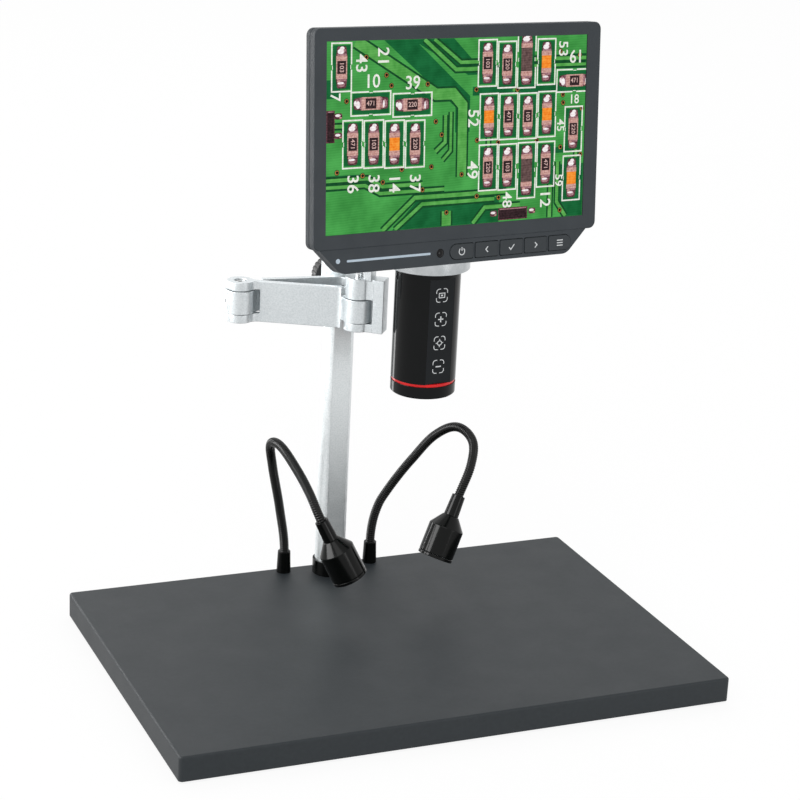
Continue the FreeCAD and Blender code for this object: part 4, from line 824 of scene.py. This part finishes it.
key_line = -80.8
chin_start = LEFT + 5.0
chin_end = RIGHT - 8.3
chin_foot = LOW - 16.5
chin = cut_sheet("key_bar", rounded([(chin_start, LOW), (chin_start + 16.5, chin_foot), (chin_end - 16.5, chin_foot),
                                     (chin_end, LOW), (chin_end, LOW + 0.1), (chin_start, LOW + 0.1)],
                                    [0, 10, 10, 0, 0, 0]), 5.5)
apply_modifier(chin, "BEVEL", width=0.6 * mm, segments=3, limit_method="ANGLE", angle_limit=math.radians(40))


def key_middle(index):
    """How far a key's middle is from the picture's middle, along the row."""
    return 2.9 + index * 21.1


def key_outline(index, grow):
    """A key's outline, grown by a gap for its hole: the row's two ends are round."""
    middle = key_middle(index)
    w = 19.3 / 2 + grow
    h = 10.4 / 2 + grow
    left = h - 0.05 if index == 0 else 1.2
    right = h - 0.05 if index == 4 else 1.2
    return rounded([(middle - w, key_line - h), (middle + w, key_line - h), (middle + w, key_line + h),
                    (middle - w, key_line + h)], [left, right, right, left], 8)


def line_outline(low, high, radius):
    """The outline of the white line, or of its slot."""
    return rounded([(-90, key_line - low), (-22.7, key_line - low), (-22.7, key_line + high),
                    (-90, key_line + high)], radius)


dot_spot, dot_lift, window_spot = -96.8, 0.6, -14.7
cutters = []
for outline in [key_outline(index, 0.35) for index in range(5)] + [line_outline(0.65, 1.05, 0.8)]:
    cutter = cut_sheet("key_bar_hole", outline, 20)
    stand(cutter, Matrix.Translation((0, 0, -5 * mm)))
    cutters.append(cutter)
for spot, radius, lift in ((dot_spot, 1.75, dot_lift), (window_spot, 3.05, 0)):
    cutters.append(begin("cylinder", "round_hole", vertices=48, radius=radius * mm, depth=30 * mm,
                         location=(spot * mm, (key_line + lift) * mm, 0)))
cut_away(chin, *cutters)
soften(chin, 0)
facing(chin, 6.0)
fit(chin, "display", "display_grey", abs_grey)

back = milled("display_back", "display_rear_cover", 0.8 * mm, 3)
fit(back, "display", "display_grey", abs_grey, replaces=["display_back"])

# Opal light guide of the line and the dot
opal = surface("acrylic_opal_lit", ("#a9b9c6", "#b9c7d2", 9), 0.3, Emission_Strength=0.12,
               Emission_Color=linear("#c4d6e8"))
light_depth = 2.6
line = cut_sheet("light_line", line_outline(0.6, 1.0, 0.75), light_depth)
soften(line, 0.15 * mm, 2)
facing(line, 0.35 + light_depth)
dot = begin("cylinder", "light_dot", vertices=48, radius=1.7 * mm, depth=light_depth * mm,
            location=(dot_spot * mm, (key_line + dot_lift) * mm, light_depth / 2 * mm))
soften(dot, 0.3 * mm, 3)
facing(dot, 0.35 + light_depth)
lights = join("status_lights", [line, dot])
fit(lights, "display", "light_white", opal, replaces=["chin_lights"])

# The infrared window is a dark dome of tinted polycarbonate
tinted = surface("polycarbonate_dark", ("#070708", "#0c0c0e", 2), 0.08, Specular_IOR_Level=0.2)
window = turn("infrared_window", [(0, 0), (3.0, 0), (3.0, 2.2), (2.4, 2.7), (1.2, 3.0), (0, 3.1)], 48)
soften(window, 0)
facing(window, 0.5 + 2.5, window_spot, key_line)
fit(window, "display", "panel_gloss", tinted, replaces=["ir_window"])

# From the left: on and off, back, accept, forward, and a list
SYMBOLS = [
    [ring_outline(2.3, 0.65, 125, 415), stroke([(0, 0.5), (0, 3.0)], 0.65)],
    [stroke([(0.9, 1.9), (-1.0, 0), (0.9, -1.9)], 0.7)],
    [stroke([(-2.2, 0.0), (-0.6, -1.7), (2.3, 1.8)], 0.7)],
    [stroke([(-0.9, 1.9), (1.0, 0), (-0.9, -1.9)], 0.7)],
    [stroke([(-2.6, y), (2.6, y)], 0.65) for y in (1.8, 0, -1.8)],
]
for index, node in enumerate(("key_power", "key_previous", "key_select", "key_next", "key_menu")):
    key = cut_sheet(node + "_cap", key_outline(index, 0), 3.0)
    apply_modifier(key, "BEVEL", width=0.45 * mm, segments=3, limit_method="ANGLE", angle_limit=math.radians(40))
    soften(key, 0)
    facing(key, -0.1 + 3.0)
    fit(key, node, "key_grey", abs_keys, replaces=[node])
    symbol = join(node + "_symbol", [cut_sheet("ink", outline, 0.04) for outline in SYMBOLS[index]])
    facing(symbol, -0.08, key_middle(index), key_line)
    fit(symbol, node, "light_white", white_ink)

hinge = milled("tilt_hinge", "display_hinge", 0.5 * mm, 3)
fit(hinge, "display", "hinge_black", grip_plastic, replaces=["tilt_hinge"])

# LCD glass, which the picture covers but for a thin edge in the board's green
lcd_glass = surface("lcd_glass", ("#1d6b33", "#2a7d3d", 30), 0.2)
coat(lcd_glass, "lcd_panel")

# The picture on the LCD: a live view of a circuit board through the lens. It is laid out here
# from flat shapes, in millimetres from the picture's middle, and glows by itself.

def lit_colour(name, dark, light, size, strength=1.0):
    """A colour of the glowing picture, with the faint mottling and the scan lines of a live view."""
    material, tree, shader = start_material(name)
    set_values(shader, Base_Color=linear("#020202"), Roughness=0.3, Specular_IOR_Level=0.04,
               Emission_Strength=strength)
    place = add_node(tree, "TexCoord")
    mottle = add_node(tree, "TexNoise", values={"Scale": 1000 / size, "Detail": 4.0},
                      links={"Vector": place.outputs["Object"]})
    lines = add_node(tree, "TexWave", values={"Scale": 190.0, "Distortion": 1.5, "Detail": 1.0},
                     links={"Vector": place.outputs["Object"]}, bands_direction="Z")
    share = add_node(tree, "Mix", values={0: 0.1}, links={2: mottle.outputs[0], 3: lines.outputs["Fac"]},
                     data_type="FLOAT")
    ramp = add_node(tree, "ValToRGB", links={0: share.outputs[0]})
    ramp.color_ramp.elements[0].position = 0.32
    ramp.color_ramp.elements[0].color = linear(dark)
    ramp.color_ramp.elements[1].position = 0.68
    ramp.color_ramp.elements[1].color = linear(light)
    tree.links.new(ramp.outputs[0], shader.inputs["Emission Color"])
    return material


board_green = lit_colour("picture_board_green", "#35873b", "#4ca851", 16)
board_dark = lit_colour("picture_gap_green", "#08562a", "#166a39", 8)
board_trace = lit_colour("picture_track_green", "#46953f", "#63b158", 6)
board_edge = lit_colour("picture_track_edge", "#093f20", "#115229", 3)
ink_lit = lit_colour("picture_ink", "#d6d8cf", "#f6f6f0", 2)
solder_dark = lit_colour("picture_solder_dark", "#33161c", "#7a4b55", 1.3)
solder_mid = lit_colour("picture_solder_mid", "#7d4e58", "#b98e93", 1.1)
solder_bright = lit_colour("picture_solder_bright", "#e2cfd2", "#ffffff", 1.6)
terminal = lit_colour("picture_terminal", "#a8746c", "#dcb3aa", 1.2)
resistor_body = lit_colour("picture_resistor_body", "#1f1416", "#3f2a2f", 1.5)
resistor_ink = lit_colour("picture_resistor_ink", "#b9938e", "#e4c5bd", 1.0)
capacitor_body = lit_colour("picture_capacitor_body", "#ea7410", "#fba23f", 2)
brown_body = lit_colour("picture_brown_body", "#4a3636", "#735a57", 2)
hole_dark = lit_colour("picture_hole", "#0c0607", "#1c1012", 1)
copper = lit_colour("picture_copper", "#7c4d22", "#c08a4a", 1)

picture_width, picture_height = 213.6, 125.4
layer_step = 0.012
painted = []


def paint(outline, material, layer):
    """One flat shape of the picture: an outline filled with one face, in a layer of its own."""
    piece = draw("shape", [(x, y, layer * layer_step) for x, y in outline])
    bpy.ops.mesh.edge_face_add()
    bpy.ops.mesh.normals_make_consistent(inside=False)
    bpy.ops.object.mode_set(mode="OBJECT")
    if piece.data.polygons[0].normal.z < 0:
        piece.data.flip_normals()
    piece.data.materials.append(material)
    return piece


def panel(x, y, w, h, material, layer):
    """An oblong round a place."""
    return paint([(x - w / 2, y - h / 2), (x + w / 2, y - h / 2), (x + w / 2, y + h / 2), (x - w / 2, y + h / 2)],
                 material, layer)


def disc(x, y, wide, high, material, layer, steps=14):
    """An oval of some width and height round a place."""
    around = [math.tau * step / steps for step in range(steps)]
    return paint([(x + wide / 2 * math.cos(a), y + high / 2 * math.sin(a)) for a in around], material, layer)


def track(points, width, layer=3):
    """A track with its dark edges."""
    painted.append(paint(stroke(points, width + 2.7), board_edge, layer))
    painted.append(paint(stroke(points, width), board_trace, layer + 1))


def figures(text, height, material, layer):
    """Plain figures as a flat mesh, middle at the origin."""
    bpy.ops.object.select_all(action="DESELECT")
    bpy.ops.object.text_add(location=(0, 0, 0))
    written = bpy.context.object
    written.data.body = text
    written.data.size = height * mm * 1.38
    written.data.align_x = written.data.align_y = "CENTER"
    written.data.resolution_u = 3
    written.data.offset = 0.014 * height * mm
    bpy.ops.object.convert(target="MESH")
    written.location = (0, 0, layer * layer_step * mm)
    bpy.ops.object.transform_apply(location=True, rotation=True, scale=True)
    written.data.materials.clear()
    written.data.materials.append(material)
    return written


def component(kind, text=""):
    """A component with its soldered ends and the broken white box printed round it, at the origin."""
    long = 3.6 if kind == "wide" else 0
    w = 8.4 + (1.0 if kind == "wide" else 0)
    h = 31 + long * 2
    reach = 6.6 + long
    parts = [panel(0, 0, 13.4, h - 2.6, board_dark, 5)]
    for side in (-1, 1):
        # The pad under the end, its dark solder, and the light that the solder's slope throws back
        parts.append(paint(rounded([(-w / 2 - 0.3, side * (reach - 1)), (w / 2 + 0.3, side * (reach - 1)),
                                    (w / 2 - 0.7, side * (h / 2 - 2.0)), (-w / 2 + 0.7, side * (h / 2 - 2.0))],
                                   [0, 0, 1.6, 1.6], 3), solder_dark, 6))
        parts.append(disc(0.3 * side, side * (h / 2 - 4.6), w - 2.6, 3.6, solder_mid, 7))
        parts.append(disc(-0.7, side * (h / 2 - 5.4), w - 3.4, 3.4 if side > 0 else 1.5, solder_bright, 8))
        parts.append(panel(0.2, side * (reach + 1.5), w - 1.2, 1.5, solder_mid, 7))
        if side > 0:
            parts.append(disc(0.4, h / 2 - 3.3, 3.4, 2.2, solder_bright, 8))
        else:
            parts.append(disc(-2.2, -h / 2 + 6.6, 2.6, 1.6, terminal, 8))
        parts.append(panel(0, side * (reach - 0.9), w, 3.4, terminal, 8))
    body = {"resistor": terminal, "capacitor": capacitor_body, "wide": brown_body}[kind]
    parts.append(panel(0, 0, w - (0.4 if kind == "capacitor" else 0), 2 * reach - 4.6, body, 9))
    if kind == "resistor":
        parts.append(panel(0, 0, w - 1.7, 2 * reach - 4.8, resistor_body, 10))
        mark = figures(text, 3.3, resistor_ink, 11)
        mark.rotation_euler = (0, 0, math.radians(-90))
        parts.append(mark)
    for side in (-1, 1):
        parts.append(panel(side * 7.6, h / 2 - 7.0, 1.0, 13.6, ink_lit, 7))
        parts.append(panel(side * 7.6, -h / 2 + 7.0, 1.0, 13.6, ink_lit, 7))
        parts.append(panel(0, side * h / 2, 16.2, 1.0, ink_lit, 7))
        parts.append(panel(side * 7.0, 0, 0.5, 2.6, ink_lit, 7))
    for part in parts:
        activate(part)
        bpy.ops.object.transform_apply(location=True, rotation=True, scale=True)
    return join(kind + "_shape", parts)


def lay(piece, x, y, turned_by=0.0):
    """Lays a piece of the picture in its place, turned by an angle in degrees."""
    stand(piece, Matrix.Translation((x * mm, y * mm, 0)) @ Matrix.Rotation(math.radians(turned_by), 4, "Z"))
    painted.append(piece)


def place_copy(pattern, x, y, turned_by=0.0):
    """Lays a copy of a component or hole."""
    activate(pattern)
    bpy.ops.object.duplicate()
    lay(bpy.context.object, x, y, turned_by)


painted.append(panel(0, 0, picture_width, picture_height, board_green, 1))
# Bare gaps between the copper areas
for outline in ([(-62, 62.6), (-38, 62.6), (8, 24), (8, 0), (-4, 0), (-4, 17), (-62, 62.6)],
                [(-40, 62.6), (-6, 62.6), (14, 44), (34, 44), (34, 38), (6, 38)],
                [(-106.6, -24), (-78, -24), (-66, -31), (-40, -31), (-40, -34), (-106.6, -34)],
                [(-30, -40), (24, -40), (34, -48), (34, -62.6), (-54, -62.6)],
                [(84, -26), (106.6, -26), (106.6, -62.6), (90, -62.6), (84, -54)],
                [(10, 30), (100, 30), (100, 24), (10, 24)], [(20, -14), (100, -14), (100, -18), (20, -18)],
                [(88, 50), (106.6, 50), (106.6, 40), (88, 40)], [(-106.6, 38), (-96, 38), (-96, 26), (-106.6, 26)]):
    painted.append(paint(outline, board_dark, 2))
for points, width in (([(-84, 62.4), (-20, 26), (-6, 26), (2, 18), (2, -30)], 7.5),
                      ([(-30, 62.4), (-4, 42), (20, 42)], 2.6), ([(-22, 62.4), (0, 46.6), (20, 46.6)], 2.2),
                      ([(60, 47), (106.6, 47)], 2.4), ([(60, 42.6), (106.6, 42.6)], 2.0),
                      ([(-106.6, -27), (-74, -27), (-62, -33), (-30, -33)], 2.4),
                      ([(-106.6, -31.5), (-76, -31.5), (-64, -37.5), (-36, -37.5), (-12, -37.5)], 2.2),
                      ([(-62, -62.4), (-36, -42), (40, -42)], 2.8), ([(-52, -62.4), (-30, -46.6), (30, -46.6)], 2.4),
                      ([(12, -62.4), (22, -52), (52, -52)], 2.6), ([(-10, -62.4), (-10, -52.5)], 7.5),
                      ([(78, -24), (78, -62.4)], 3.0), ([(84, -24), (84, -52), (92, -62.4)], 2.6),
                      ([(-12, 12), (-12, -6), (-20, -12)], 2.4), ([(-7.5, 14), (-7.5, -12), (-14, -18)], 2.0),
                      ([(92, 2), (100, -6), (100, -22)], 2.4), ([(-106.6, 8), (-94, 8), (-88, 2)], 2.4),
                      ([(16, 8), (24, 0), (24, -24)], 2.4), ([(44, 26), (50, 32), (58, 32)], 2.2)):
    track(points, width)
shapes = {"a": component("resistor", "103"), "b": component("resistor", "471"), "c": component("resistor", "220"),
          "orange": component("capacitor"), "wide": component("wide")}
for x, y, turned_by, kind in ((-95, 46, 0, "a"), (-72, 22, 90, "b"), (-39, 20, 90, "c"), (-86, -4, 0, "b"),
                              (-69.5, -4.6, 0, "a"), (-53, -5.4, 0, "orange"), (-36.5, -6, 0, "c"),
                              (22, 45.5, 0, "a"), (38.5, 44, 0, "c"), (55, 47, 0, "wide"), (72, 45, 0, "orange"),
                              (97, 31.5, 90, "b"), (24, 9.4, 0, "orange"), (40.5, 9, 0, "b"), (57, 8.6, 0, "a"),
                              (73.5, 9.2, 0, "orange"), (97, -2, 0, "c"), (24, -25, 0, "c"), (40.5, -25.4, 0, "a"),
                              (57, -28.6, 0, "wide"), (73.5, -25.2, 0, "b"), (96.5, -36, 0, "orange")):
    place_copy(shapes[kind], x, y, turned_by)
for pattern in shapes.values():
    bpy.data.objects.remove(pattern)

# Two chips, one half out of view and one at the lower edge, with their bright leads
for x, y, w, h in ((-103.2, 8, 6.4, 21), (46, -57.6, 25, 8.4)):
    painted.append(panel(x, y, w, h, solder_dark, 6))
    painted.append(panel(x, y, w - 1.4, h - 1.4, resistor_body, 8))
    painted.append(panel(x, y + h / 2 - 0.9, w - 2.0, 0.7, solder_mid, 9))
for x, y in ((-97.2, 14.6), (-97.2, 2), (29.6, -56.8), (62.6, -56.8)):
    painted.append(paint(rounded([(x - 3, y - 2), (x + 3, y - 2), (x + 3, y + 2), (x - 3, y + 2)], 1.4, 3),
                         solder_dark, 8))
    painted.append(disc(x - 0.4, y + 0.5, 4.2, 1.8, solder_bright, 9))
    painted.append(disc(x + 1.6, y - 1.0, 2.0, 1.0, terminal, 10))
# Through holes: a copper ring round a dark hole
hole = join("hole_shape", [disc(0, 0, 4.0, 4.0, board_edge, 5), disc(0, 0, 3.1, 3.1, copper, 6),
                           disc(0.1, 0.1, 2.0, 2.0, hole_dark, 7)])
for x, y in ((-76, 52), (-60, 40), (-27, 33), (-56, 33), (-20, 8), (-15, -1), (-23, -22), (2, -28.5), (-10, -53.5),
             (13, 28), (47.6, 27), (84, 52), (104, 12), (87.4, 16.5), (14.4, -6), (32.2, -8.4), (65.3, -8.6),
             (86, -14), (104, -20), (15, -44), (33.5, -46), (87, -58), (-30, -37), (-62, -30.2), (-98, -22), (87, 22),
             (101, 49), (-47, -22.5), (-91, 24), (-78, -25)):
    place_copy(hole, x, y)
bpy.data.objects.remove(hole)
for text, x, y, turned_by, height in (
        ("43", -80, 48, -90, 9), ("21", -63, 52, -90, 9), ("39", -39, 34, 0, 9), ("10", -71, 36, 0, 9),
        ("36", -86, -30, -90, 9), ("38", -69.5, -30.5, -90, 9), ("14", -53, -31.4, -90, 9),
        ("37", -36.5, -32, -90, 9),
        ("52", 10.6, 9, -90, 9), ("49", 10.6, -26, -90, 9), ("53", 86, 53.5, -90, 8), ("45", 85.4, 1, -90, 6.4),
        ("48", 40.5, -48, -90, 8), ("12", 73.5, -49, -90, 9), ("61", 98, 47.5, 0, 9), ("59", 85, -37, -90, 6.4),
        ("18", 97, 18.4, 0, 6.4), ("7", -100, 27, -90, 8)):
    lay(figures(text, height, ink_lit, 11), x, y, turned_by)

picture = join("board_picture", painted)
pick(picture, lambda middle, normal: True)
# What reaches past the picture's border is cut off
for outwards in ((-1, 0, 0), (1, 0, 0), (0, -1, 0), (0, 1, 0)):
    edge = (outwards[0] * picture_width / 2 * mm, outwards[1] * picture_height / 2 * mm, 0)
    bpy.ops.mesh.select_all(action="SELECT")
    bpy.ops.mesh.bisect(plane_co=edge, plane_no=outwards, clear_outer=True)
activate(picture)
facing(picture, 0.88)
fit(picture, "display", "lcd_glass")
